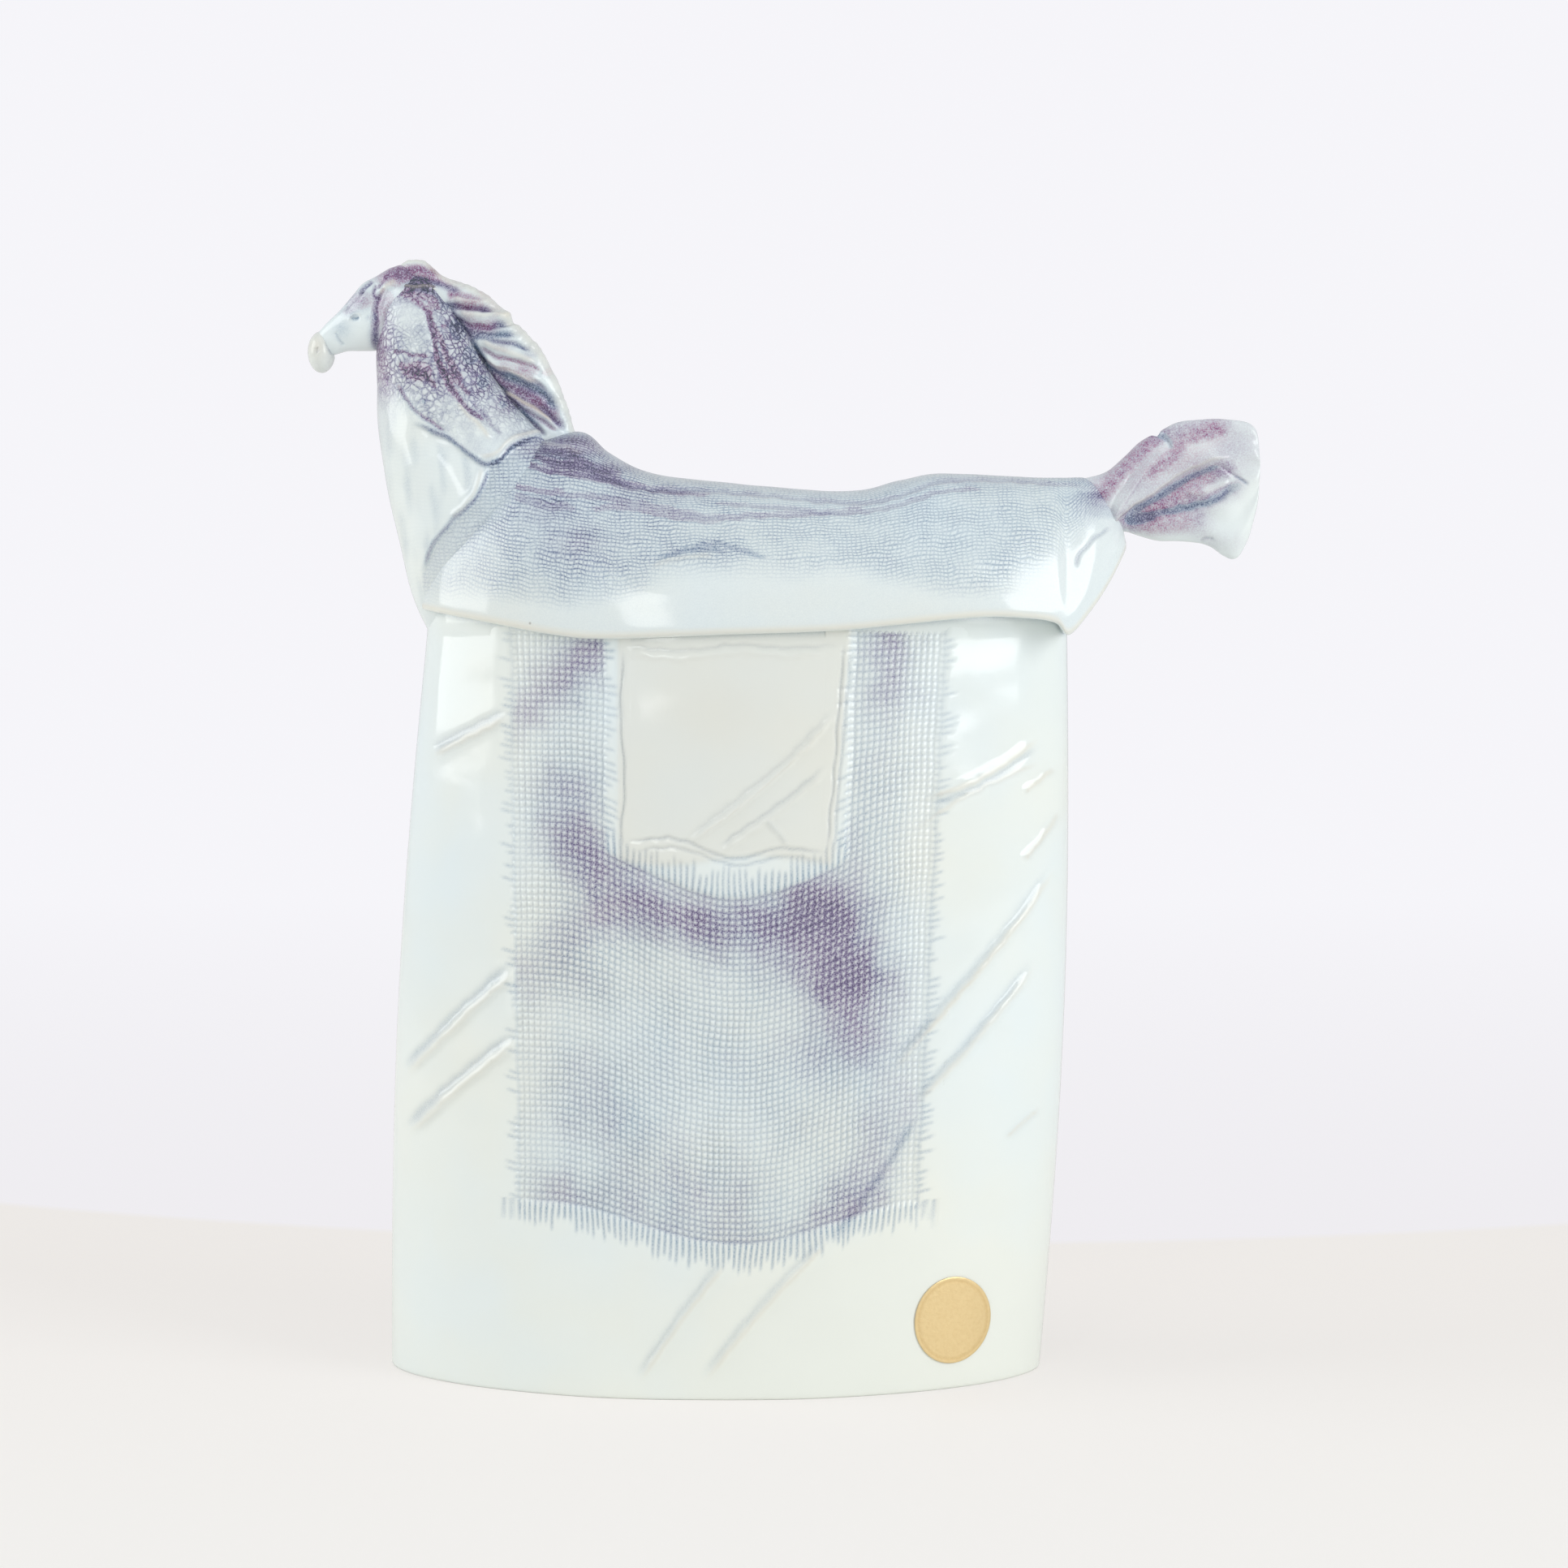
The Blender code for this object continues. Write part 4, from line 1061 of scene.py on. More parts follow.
def trunk():
    """Rings across the trunk. Over half a turn the depth goes as minus the cosine, times 1 less
    0.12 times the squared sine of twice the angle, and the height as the sine to the power 0.85.
    A quarter circle rounds the rim underneath."""
    s = np.linspace(0, 1, TRUNK_RINGS)
    s = np.clip(0.45 * s + 0.55 * (1 - np.cos(math.pi * s)) / 2, 0.0004, 0.9996)
    rim = smooth_curve(RIM_LINE, 400)
    back = smooth_curve(BACK_LINE, 400)
    x, low = trunk_point(s, np.interp(s, rim[:, 0], rim[:, 1]))
    x, high = trunk_point(s, np.interp(s, back[:, 0], back[:, 1]))
    half = np.clip(1 - np.abs(2 * s - 1) ** 2.3, 0, 1) ** 0.52 * (SHOULDER_DEPTH / 2 + RIM_OVERHANG)
    turn = np.linspace(0, math.pi, BACK_POINTS)
    across = -np.cos(turn) * (1 - 0.12 * np.sin(2 * turn) ** 2)
    up = np.sin(turn) ** 0.85
    start_up = np.minimum(RIM_ROUND, (high - low) / 3)[:, None]
    y = half[:, None] * across
    z = low[:, None] + start_up + (high - low)[:, None] * up - start_up * up
    tuck = np.minimum(RIM_ROUND, half / 3)[:, None]
    corner = np.linspace(0, math.pi / 2, 6)[1:]
    far_y = half[:, None] - tuck * (1 - np.cos(corner))
    far_z = low[:, None] + start_up * (1 - np.sin(corner))
    inner = (half[:, None] - tuck) * np.array([0.6, 0, -0.6])
    y = np.concatenate([y, far_y, inner, -far_y[:, ::-1]], axis=1)
    z = np.concatenate([z, far_z, low[:, None] + 0 * inner, far_z[:, ::-1]], axis=1)
    rings = np.stack([x[:, None] + 0 * y, y, z], axis=-1)
    px, pz = rings[..., 0], rings[..., 2]
    relief, pool, violet, thin = read_marks(px, pz, TRUNK_MARKS)
    above = pz - low[:, None]
    shade, tint, gauze = back_glaze(px, pz)
    wave = 0.5 * ripple(px, pz, 60, 43) * step(above, 2, 8) + 0.12 * ripple(px, 3 * pz, 16, 44) * gauze
    outside = step(above, 0.5, 2.5)
    pool = 1 - (1 - pool) * (1 - shade)
    bead = bell(above - 1.0, 1.0)
    values = {"pool": pool * outside,
              "violet": np.clip(np.maximum(tint, violet * (relief < -0.05)), 0, 1),
              "thin": np.clip(thin + 0.45 * bead, 0, 1),
              "gauze": gauze * (1 - 0.5 * (relief < -0.2))}
    rings = lift(rings, (relief + wave) * outside)
    values["along"], values["around"] = run_lengths(rings)
    return ring_piece("trunk_slab", rings, values, gauze_glaze)


gauze_glaze = make_glaze("gauze_glaze", GAUZE_PITCH)
trunk()

# %% [markdown]
# ## The neck
# The neck is a thick slab that stands up from the chest. A second slab, scaly and veined with dark
# lines, lies over it and ends in a thin raised edge above the smooth chest. Both are one surface
# here: the overlap is a step in its relief along the edge's line, which is how it looks anyway.

# %% Neck
NECK_WIDTH = 62.0
NECK_HEIGHT = 107.0
NECK_DEPTH = 43.0
TIP_SHARE = 0.985
NECK_FRONT = [(0.08, -0.117), (-0.024, 0.014), (-0.12, 0.23), (-0.198, 0.5), (-0.21, 0.65),
              (-0.21, 0.743), (-0.19, 0.85), (-0.113, 0.93), (0, 0.963)]
NECK_REAR = [(0.98, 0.17), (0.758, 0.416), (0.613, 0.509), (0.5, 0.579), (0.403, 0.654),
             (0.306, 0.743), (0.21, 0.836), (0.129, 0.907), (0.065, 0.951), (0, 0.963)]
NECK_THICKNESS = [(0, 0.65), (0.12, 0.88), (0.28, 1), (0.45, 0.95), (0.6, 0.8), (0.75, 0.65),
                  (0.88, 0.5), (0.96, 0.3), (1, 0.05)]
NECK_CORNER = np.array(trunk_point(0, 0.19))
NECK_RINGS = 230
SLAB_BORDER = [(-106, 297), (-91.3, 294.3), (-85.6, 292.5), (-79.8, 289.1), (-75.2, 285),
               (-67.7, 281.4), (-63.2, 283), (-60.9, 286), (-56.8, 288.4), (-51.4, 289.6),
               (-44, 290.5)]
TRUNK_BORDER = [(-89, 247), (-82.6, 259.1), (-77.6, 264.4), (-71.3, 270.5), (-68.4, 276),
                (-67, 281), (-67, 300)]
NECK_MARKS = [
    mark([(-51.4, 289), (-56.8, 288), (-60.9, 285.6), (-63.2, 282.6), (-67.7, 280.6), (-70.4, 281.4),
          (-75, 285.1), (-80.4, 288.7), (-85.9, 291), (-91.5, 293.5)], 0.3, 0.6, 0.85, 0.8, 0.8, 0.0, -1.3),
    mark([(-52, 290.6), (-57.6, 289.6), (-62, 287.2), (-64.6, 284.6), (-68.2, 282.8), (-71, 283.4)],
         0.9, 0.9, 0.0, 1.0, 0.5, 0.35),
    mark([(-68.2, 281), (-68.4, 276), (-71.3, 270.5), (-77.6, 264.4), (-82.6, 259.1), (-86.3, 254.1),
          (-89, 247)], 0.3, 0.7, 0.6, 0.9, 0.95, 0.0, -0.9),
    mark([(-70, 280), (-70.2, 275.6), (-73.2, 270), (-79, 264)], 0.9, 1.0, 0.0, 1.0, 0.5, 0.2),
    mark([(-86.8, 329), (-84.9, 318.8), (-83.1, 311.5), (-78.6, 302.4), (-73.1, 296.9), (-67.7, 291.4)],
         -0.7, 0.8, 0.85, 0.9, 1.15),
    mark([(-97, 306), (-94, 301.5), (-90.8, 297.5), (-85, 293), (-80, 290)], -0.5, 0.7, 0.7, 0.8, 1.1),
    mark([(-98, 315), (-92, 314), (-85.6, 313.3)], -0.4, 0.6, 0.7, 0.7, 1.1),
    mark([(-96, 312), (-93, 309), (-87, 307), (-83.5, 303)], -0.4, 0.7, 0.7, 0.9, 1.1),
    mark([(-93, 331), (-88.5, 328.5), (-84, 321), (-80, 312), (-75, 305)], -0.4, 0.7, 0.6, 0.9, 1.1),
    mark([(-79, 312), (-78.5, 307), (-73, 301)], -0.4, 0.6, 0.6, 0.8, 1.0),
    mark([(-73, 300), (-68, 294), (-63.5, 289)], -0.4, 0.6, 0.5, 0.8, 0.6),
    mark([(-77.5, 299), (-72, 293.5), (-67, 288)], 0.5, 0.9, 0.0, 1.0, 0.4, 0.4),
    mark([(-104, 327), (-102.8, 319), (-103.2, 311)], -0.3, 1.0, 0.5, 1.6, 1.0),
    mark([(-95, 334.4), (-89, 334.8), (-83, 334.4)], 0.6, 0.6, 0.0, 1.0, 0.2, 0.3),
]


def neck():
    """A slab between the neck's front and rear outlines, with its relief on both sides."""
    scale = (NECK_WIDTH, NECK_HEIGHT)
    front = NECK_CORNER + smooth_curve(np.multiply(NECK_FRONT, scale), NECK_RINGS, TIP_SHARE)
    rear = NECK_CORNER + smooth_curve(np.multiply(NECK_REAR, scale), NECK_RINGS, TIP_SHARE)
    half = read_along(NECK_THICKNESS, NECK_RINGS) * NECK_DEPTH / 2
    rings = slab(front, rear, half, oval_turn(120, 90))
    x, z = rings[..., 0], rings[..., 2]
    relief, pool, violet, thin = read_marks(x, z, NECK_MARKS)
    border = np.interp(x, [p[0] for p in SLAB_BORDER], [p[1] for p in SLAB_BORDER])
    blur = np.interp(x, [-104, -92, -86], [9, 6, 0.6])
    upper = step((z - border - 0.7 * blur) / blur, -1, 1)
    veined = upper * step(z, 282, 296)
    left_edge = step(-(x + 97 + 0.08 * (z - 290)), -4, 3) * step(z, 274, 306)
    shade = patches(x, z, [(-89.5, 308.8, 6, 4, 0.95), (-88, 336, 13, 6, 1.25), (-83, 331, 6, 5, 0.9),
                           (-78, 322, 5, 7, 0.75), (-74, 314, 5, 7, 0.7), (-70, 306, 5, 6, 0.65),
                           (-64, 299, 5, 5, 0.6), (-98, 336, 5, 4, 0.8), (-80, 308, 7, 9, 0.5),
                           (-100, 315, 4, 14, 0.25), (-101, 329, 4, 6, 0.5)])
    clear = patches(x, z, [(-93, 326.5, 5, 5.5, 0.95), (-67, 288, 9, 6, 0.8), (-72, 293, 8, 5, 0.7)])
    scaly = veined * (0.55 + 0.6 * shade) * (1 - 0.85 * clear)
    pool = 1 - (1 - pool) * (1 - np.clip(0.8 * shade * upper, 0, 1))
    pool = pool + 0.2 * np.clip(shade - 0.8, 0, 1) * upper
    wash = upper * (0.33 - 0.22 * clear) * (0.75 + 0.5 * ripple(x, z, 5, 53))
    drips = np.clip(0.35 + 0.8 * ripple(x, 0.22 * z, 5, 54), 0, 1)
    drips = drips * np.clip(0.5 + 0.9 * ripple(x, z, 9, 55), 0, 1)
    pool = np.maximum(pool, np.maximum(wash, (1 - upper) * 0.2 * drips))
    behind = x - np.interp(z, [p[1] for p in TRUNK_BORDER], [p[0] for p in TRUNK_BORDER])
    like_back = step(behind, -0.5, 0.5) * (1 - upper)
    back_pool, back_violet, back_gauze = back_glaze(x, z)
    pool = np.maximum(pool * (1 - 0.9 * like_back * (pool < 0.3)), like_back * back_pool)
    violet = 0.5 * upper + 0.8 * shade + 0.7 * left_edge + (pool > 0.45) * (violet - 0.4)
    violet = np.clip(violet, 0, 1.4)
    violet = violet * (1 - like_back) + like_back * np.maximum(back_violet, violet * (pool > 0.5))
    gauze = like_back * back_gauze * 0.85 + (1 - like_back) * (1 - upper) * 0.03
    values = {"pool": np.clip(pool + 0.24 * left_edge, 0, 1.2), "violet": violet, "thin": thin,
              "gauze": gauze, "scaly": scaly}
    rings = lift(rings, relief + 0.4 * ripple(x, z, 40, 52))
    values["along"] = rings[..., 0]
    values["around"] = rings[..., 2] * 1.1
    return ring_piece("neck_slab", rings, values, make_glaze("scaly_glaze", GAUZE_PITCH, True))


neck()

# %% [markdown]
# ## The mane
# The mane is a thin slab along the back of the neck, folded into locks that sweep down and back.
# Grooves between the locks run from the neck's edge out to the free edge, and the glaze in them is
# nearly black. The crests stay cream. The grooves are marks, as on the body, only deeper.

# %% Mane
MANE_DEPTH = 13.0
MANE_RINGS = 430
SCALLOP_HEIGHT = 2.8
MANE_OUTER = [(-0.129, 0.953), (-0.065, 0.995), (0.016, 1), (0.08, 0.979), (0.145, 0.951),
              (0.339, 0.902), (0.461, 0.836), (0.54, 0.794), (0.613, 0.736), (0.685, 0.657),
              (0.739, 0.579), (0.774, 0.517), (0.823, 0.444), (0.919, 0.332)]
MANE_INNER = [(-0.097, 0.883), (0.032, 0.874), (0.113, 0.8), (0.194, 0.715), (0.29, 0.631),
              (0.403, 0.547), (0.516, 0.472), (0.629, 0.407), (0.726, 0.332)]
MANE_THICKNESS = [(0, 0.5), (0.1, 0.85), (0.5, 1), (0.85, 0.95), (1, 0.6)]
MANE_MARKS = [
    mark([(-98, 336.8), (-90, 337.2), (-82, 336), (-77, 332.5)], -0.9, 1.3, 1.0, 1.8, 0.5),
    mark([(-98, 339.4), (-91, 340.4), (-84, 339.4), (-79, 336.5)], -0.3, 1.6, 0.9, 2.0, 1.5),
    mark([(-97, 334.6), (-90, 334.6), (-84, 334)], 0.6, 0.5, 0.0, 1.0, 0.2, 0.25),
    mark([(-83, 329.4), (-75.2, 328.5), (-65.4, 327.8)], -1.4, 0.9, 1.0, 1.2, 0.7),
    mark([(-82, 332.5), (-76, 332), (-70, 331)], -0.3, 1.2, 0.7, 1.5, 1.6),
    mark([(-80.5, 325.3), (-71.8, 322.8), (-65, 323.6), (-59, 325)], -1.6, 1.1, 1.0, 1.4, 0.6),
    mark([(-79, 323), (-71.5, 320.8), (-60, 320.4)], -1.2, 0.9, 1.0, 1.1, 0.1),
    mark([(-78, 321), (-70.6, 319.2), (-59.7, 317.2), (-54, 315)], -1.0, 0.8, 0.85, 1.0, 0.2),
    mark([(-72, 316.4), (-66, 313.6), (-58, 311.5), (-52.2, 308.7)], -0.7, 0.6, 0.7, 0.8, 1.3),
    mark([(-74, 314), (-66, 310.4), (-58, 308), (-50, 303)], -0.6, 0.5, 0.5, 0.7, 1.2),
    mark([(-75.5, 317.5), (-70.5, 310.8), (-62.6, 307.2), (-53.4, 303.4), (-46, 297)],
         -2.0, 1.5, 1.1, 1.6, 0.0),
    mark([(-71, 309), (-64, 304.8), (-56, 301.6), (-47, 295)], -1.8, 2.0, 1.0, 2.4, 1.5),
    mark([(-70, 305.5), (-60, 300.8), (-50, 296), (-44.5, 290.5)], -1.3, 1.0, 1.0, 1.2, 0.7),
    mark([(-66, 302), (-56.8, 296.6), (-47, 290.5)], -1.0, 0.7, 0.7, 0.8, 1.2),
    mark([(-62.6, 299), (-56.8, 293.8), (-51, 289.6)], -0.9, 0.8, 0.8, 0.9, 0.7),
    mark([(-82.5, 331), (-79, 324.5), (-75.3, 319.5), (-71.6, 313.3), (-69.2, 307.4), (-62.7, 300),
          (-56, 294), (-52, 290)], -1.3, 1.0, 1.1, 1.4, 0.3),
    mark([(-80, 331.2), (-73, 330.4), (-68, 330)], 0.9, 1.2, 0.0, 1.0, 0.5, 0.1),
    mark([(-78, 326.9), (-70, 326.2), (-62, 326.5)], 1.1, 1.2, 0.0, 1.0, 0.5, 0.15),
    mark([(-71, 318), (-63, 315), (-54, 311.5)], 1.0, 1.3, 0.0, 1.0, 0.5, 0.15),
    mark([(-71, 312.6), (-62, 309), (-53, 305.5)], 0.9, 1.0, 0.0, 1.0, 0.5, 0.15),
    mark([(-65, 303.2), (-56, 298.6), (-49, 293.6)], 0.7, 0.8, 0.0, 1.0, 0.5, 0.3),
]


def mane():
    """A slab between the mane's inner and outer lines. Fine hairs follow the locks: a ripple of
    the running number of each ring, growing towards the free edge."""
    scale = (NECK_WIDTH, NECK_HEIGHT)
    inner = NECK_CORNER + smooth_curve(np.multiply(MANE_INNER, scale), MANE_RINGS, TIP_SHARE)
    outer = NECK_CORNER + smooth_curve(np.multiply(MANE_OUTER, scale), MANE_RINGS, TIP_SHARE)
    half = read_along(MANE_THICKNESS, MANE_RINGS) * MANE_DEPTH / 2
    turn = oval_turn(110, 90)
    number = np.linspace(0, 1, MANE_RINGS)
    scallop = 0.35 * ripple(number, 0 * number, 0.14, 63)
    scallop = scallop + 0.12 * ripple(number, 0 * number, 0.04, 64)
    outer = outer + scallop[:, None] * SCALLOP_HEIGHT * (outer - inner) / NECK_WIDTH
    rings = slab(inner, outer, half, turn, 0.4)
    x, z = rings[..., 0], rings[..., 2]
    across = (1 - np.cos(turn))[None, :] / 2
    relief, pool, violet, thin = read_marks(x, z, MANE_MARKS)
    hair = ripple(number[:, None] * 100 + 0 * x, across * 3, 3.5, 61)
    relief = relief + 0.16 * hair * across
    free = step(across + 0 * x, 0.84, 0.97)
    lilac = patches(x, z, [(-73, 331, 6, 3, 0.8), (-86, 340, 8, 3, 0.8), (-63, 318, 6, 3, 0.3),
                           (-72, 323, 6, 3.4, 0.7), (-58, 311, 7, 3, 0.55)])
    blotch = np.clip(0.4 + 0.9 * ripple(x, z, 6, 62), 0, 1)
    pool = pool * (1 - 0.7 * free)
    pool = np.clip(np.maximum(pool, 0.2 * blotch + lilac * (0.4 + 0.5 * blotch)), 0, 1.15)
    values = {"pool": pool,
              "violet": np.clip(violet * (pool > 0.25) + 0.3 * blotch + 1.3 * lilac, 0, 1.6),
              "thin": np.clip(2.2 * thin + 0.36 * free, 0, 0.6)}
    return ring_piece("pleated_mane", lift(rings, relief), values, glaze)


mane()

# %% [markdown]
# ## The head
# The little head droops from the top of the neck. It is a slab that tapers to the nose, with a
# brow ridge, a small eye, a cheek disc and a forelock laid on in strips, and a soft muzzle pad
# hangs from its end. Dark glaze marks the throat and the strips.

# %% Head and muzzle
HEAD_LENGTH = 21.0
HEAD_HEIGHT = 28.0
HEAD_DEPTH = 17.0
HEAD_RINGS = 120
MUZZLE_HEIGHT = 12.8
MUZZLE_LENGTH = 8.4
MUZZLE_DEPTH = 12.0
THROAT = NECK_CORNER + np.multiply((-0.21, 0.74), (NECK_WIDTH, NECK_HEIGHT))
NOSE_LINE = [(-0.667, 0.8), (-0.43, 0.93), (-0.248, 0.911), (-0.138, 0.871), (0.005, 0.807),
             (0.186, 0.736), (0.329, 0.614), (0.524, 0.446), (0.738, 0.293), (0.857, 0.179), (0.88, 0.07)]
JAW_LINE = [(-0.667, 0.16), (-0.286, 0.036), (0, 0), (0.238, -0.004), (0.433, -0.007),
            (0.61, -0.043), (0.738, -0.046), (0.848, 0), (0.88, 0.07)]
HEAD_THICKNESS = [(0, 1), (0.35, 1), (0.5, 0.85), (0.75, 0.6), (0.92, 0.45), (1, 0.1)]
MUZZLE_AT = (0.81, -0.015)
HEAD_MARKS = [
    mark([(-101.5, 333), (-103, 327), (-103.4, 321), (-103, 315)], -0.9, 1.0, 0.95, 1.5, 0.9),
    mark([(-107, 334.5), (-109.5, 331.5), (-113, 327.5)], -0.5, 0.7, 0.6, 0.9, 0.6),
    mark([(-104.8, 337.2), (-107.3, 334.5), (-108.5, 332.5)], -0.6, 0.7, 0.95, 0.9, 0.5),
    mark([(-100, 334.5), (-102.5, 331.5), (-104, 333), (-103.5, 336)], -0.6, 0.7, 0.8, 0.8, 0.8),
    mark([(-96.5, 339.4), (-99, 338.6), (-101.5, 336.9)], 0.5, 1.0, 0.9, 1.3, 1.0),
    mark([(-97, 337), (-99.5, 335), (-101.8, 332.6)], 0.9, 1.0, 0.0, 1.0, 0.5, 0.4),
    mark([(-98.4, 338.6), (-101, 336.6), (-103, 334)], -0.4, 0.6, 0.8, 0.8, 0.9),
    mark([(-111.7, 324.6), (-110.2, 326.2), (-108.6, 326.6), (-107.4, 325.8)],
         0.45, 0.55, 0.0, 1.0, 0.2, 0.1),
    mark([(-111.2, 325.4), (-109.8, 325.0), (-108.2, 325.4)], -0.45, 0.5, 0.7, 0.6, 0.1),
    mark([(-116.2, 321.2), (-114.8, 319.0), (-113.2, 317.2)], -0.3, 0.6, 0.35, 0.8, 0.2),
]


def head():
    """A slab between the nose line and the jaw line, raised into a cheek disc by a bell."""
    scale = (-HEAD_LENGTH, HEAD_HEIGHT)
    nose = THROAT + smooth_curve(np.multiply(NOSE_LINE, scale), HEAD_RINGS, TIP_SHARE)
    jaw = THROAT + smooth_curve(np.multiply(JAW_LINE, scale), HEAD_RINGS, TIP_SHARE)
    half = read_along(HEAD_THICKNESS, HEAD_RINGS) * HEAD_DEPTH / 2
    rings = slab(nose, jaw, half, oval_turn(90, 70), 0.42)
    x, z = rings[..., 0], rings[..., 2]
    relief, pool, violet, thin = read_marks(x, z, HEAD_MARKS)
    cheek = patches(x, z, [(-106.5, 322.5, 4.2, 3.6, 0.9)])
    bridge = patches(x, z, [(-108.5, 330.8, 6, 3.4, 0.62), (-100, 328, 4, 7, 0.6),
                            (-95, 339, 9, 4, 1.1), (-99, 338.6, 4, 2.4, 0.9),
                            (-101, 331, 2.6, 3, 0.4), (-111.5, 327.6, 3.4, 1.8, 0.5)])
    blue = patches(x, z, [(-110.5, 326.2, 1.8, 1.5, 0.5), (-104.6, 325.4, 1.6, 1.2, 0.4),
                          (-114, 322, 3, 3, 0.3)])
    pool = np.clip(np.maximum(np.maximum(pool, bridge), blue), 0, 1)
    red = patches(x, z, [(-97, 340, 6, 3, 0.7)])
    values = {"pool": pool, "thin": thin,
              "violet": np.clip(violet * (pool > 0.3) + bridge - blue + red, 0, 1.5)}
    return ring_piece("horse_head", lift(rings, relief + cheek), values, glaze)


def muzzle():
    """An egg of rings from top to bottom: the radius goes as the root of 1 - up squared."""
    middle = THROAT + np.multiply(MUZZLE_AT, (-HEAD_LENGTH, HEAD_HEIGHT))
    up = np.cos(np.linspace(0.03, math.pi - 0.03, 64))
    round_off = np.sqrt(1 - up * up)
    z = middle[1] + up * MUZZLE_HEIGHT / 2
    left = np.column_stack([middle[0] - round_off * MUZZLE_LENGTH / 2, z])
    right = np.column_stack([middle[0] + round_off * MUZZLE_LENGTH / 2, z])
    rings = slab(left, right, round_off * MUZZLE_DEPTH / 2, oval_turn(48, 40))
    x, z = rings[..., 0], rings[..., 2]
    crease = mark([(-120.0, 321.4), (-118.2, 317), (-116.4, 313.8)], -0.5, 0.7, 0.5, 0.8, 0.2)
    nostril = mark([(-122.0, 316.6), (-121.4, 314.9)], -0.5, 0.6, 0.4, 0.7, 0.2)
    relief, pool, violet, thin = read_marks(x, z, [crease, nostril])
    worn = patches(x, z, [(-122, 317, 3.6, 4, 0.30)])
    values = {"pool": np.clip(pool + 0.08, 0, 1), "violet": violet,
              "thin": np.clip(0.22 + thin + worn, 0, 1)}
    return ring_piece("muzzle_pad", lift(rings, relief), values, glaze)


head()
muzzle()

# %% [markdown]
# ## The tail
# The tail is a slab folded over on itself three times, and it fans out behind the rump. A sharp
# bright edge marks the main fold, with dark glaze below it. The folds are step marks: the high
# side of each lies over the low side, and grooves follow them in the hollows.

# %% Tail
TAIL_LENGTH = 52.7
TAIL_HEIGHT = 43.0
TAIL_DEPTH = 14.0
TAIL_RINGS = 230
TAIL_ROOT = np.array(trunk_point(0.945, 1.078))
TAIL_UPPER = [(-0.32, -0.2), (-0.133, -0.047), (0, 0.007), (0.118, 0.053), (0.213, 0.156),
              (0.306, 0.256), (0.4, 0.33), (0.541, 0.4), (0.708, 0.419), (0.873, 0.412),
              (0.96, 0.365), (0.992, 0.256), (1, 0.058)]
TAIL_LOWER = [(-0.36, -0.57), (-0.095, -0.477), (0.095, -0.393), (0.211, -0.381), (0.304, -0.416),
              (0.429, -0.451), (0.619, -0.46), (0.712, -0.491), (0.789, -0.553), (0.856, -0.579),
              (0.907, -0.526), (0.962, -0.353), (0.992, -0.151), (1, 0.058)]
TAIL_THICKNESS = [(0, 1), (0.3, 1), (0.5, 0.8), (0.8, 0.65), (0.95, 0.5), (1, 0.12)]
TAIL_MARKS = [
    mark([(121, 261.5), (125.7, 265.9), (133.7, 271.2), (142.5, 277.4), (151.3, 281.4), (158.4, 283.1)],
         0.7, 0.6, 0.0, 1.0, 0.5, 0.25, 1.3),
    mark([(126, 264.6), (134.6, 269.8), (143.5, 275.4), (151.5, 279.2), (157.5, 280.6)],
         -1.3, 1.0, 0.9, 1.1, 0.3),
    mark([(125, 262.6), (128.4, 264), (142.5, 266.7), (153.1, 269.4), (159.3, 273.4), (163, 275)],
         -1.3, 1.1, 0.9, 1.2, 0.6),
    mark([(126, 262.4), (131, 263.2), (136, 264.6)], -0.8, 1.2, 1.0, 1.5, 0.1),
    mark([(121.8, 262), (125.2, 268.4), (129.6, 275.4), (134.6, 280.8), (140, 285.4)],
         0.9, 1.1, 0.0, 1.5, 0.9),
    mark([(122.6, 263), (127.4, 271), (132.2, 277.4), (138, 283)], -0.4, 0.5, 0.6, 0.6, 1.2),
    mark([(119.6, 262.6), (122.6, 269), (126.4, 275), (131.6, 281), (137, 285.6)],
         -0.5, 0.6, 0.3, 0.8, 1.2),
    mark([(134.5, 291), (138.5, 289), (140.6, 285.5)], -1.0, 0.8, 0.8, 1.1, 0.8),
    mark([(155, 280), (160.2, 277), (164.4, 274.4)], -0.6, 0.5, 0.8, 0.6, 1.0),
    mark([(149.2, 256.9), (151.5, 257.8), (153.8, 257.8)], -0.4, 0.5, 0.4, 0.6, 0.1),
    mark([(145, 271.6), (152, 272.6), (158.5, 275.6)], 0.8, 1.0, 0.0, 2.0, 0.9, 0.1),
    mark([(147, 286.4), (152, 288.8), (157, 287.6), (158.8, 285)], 0.3, 0.7, 0.0, 1.0, 0.5),
]


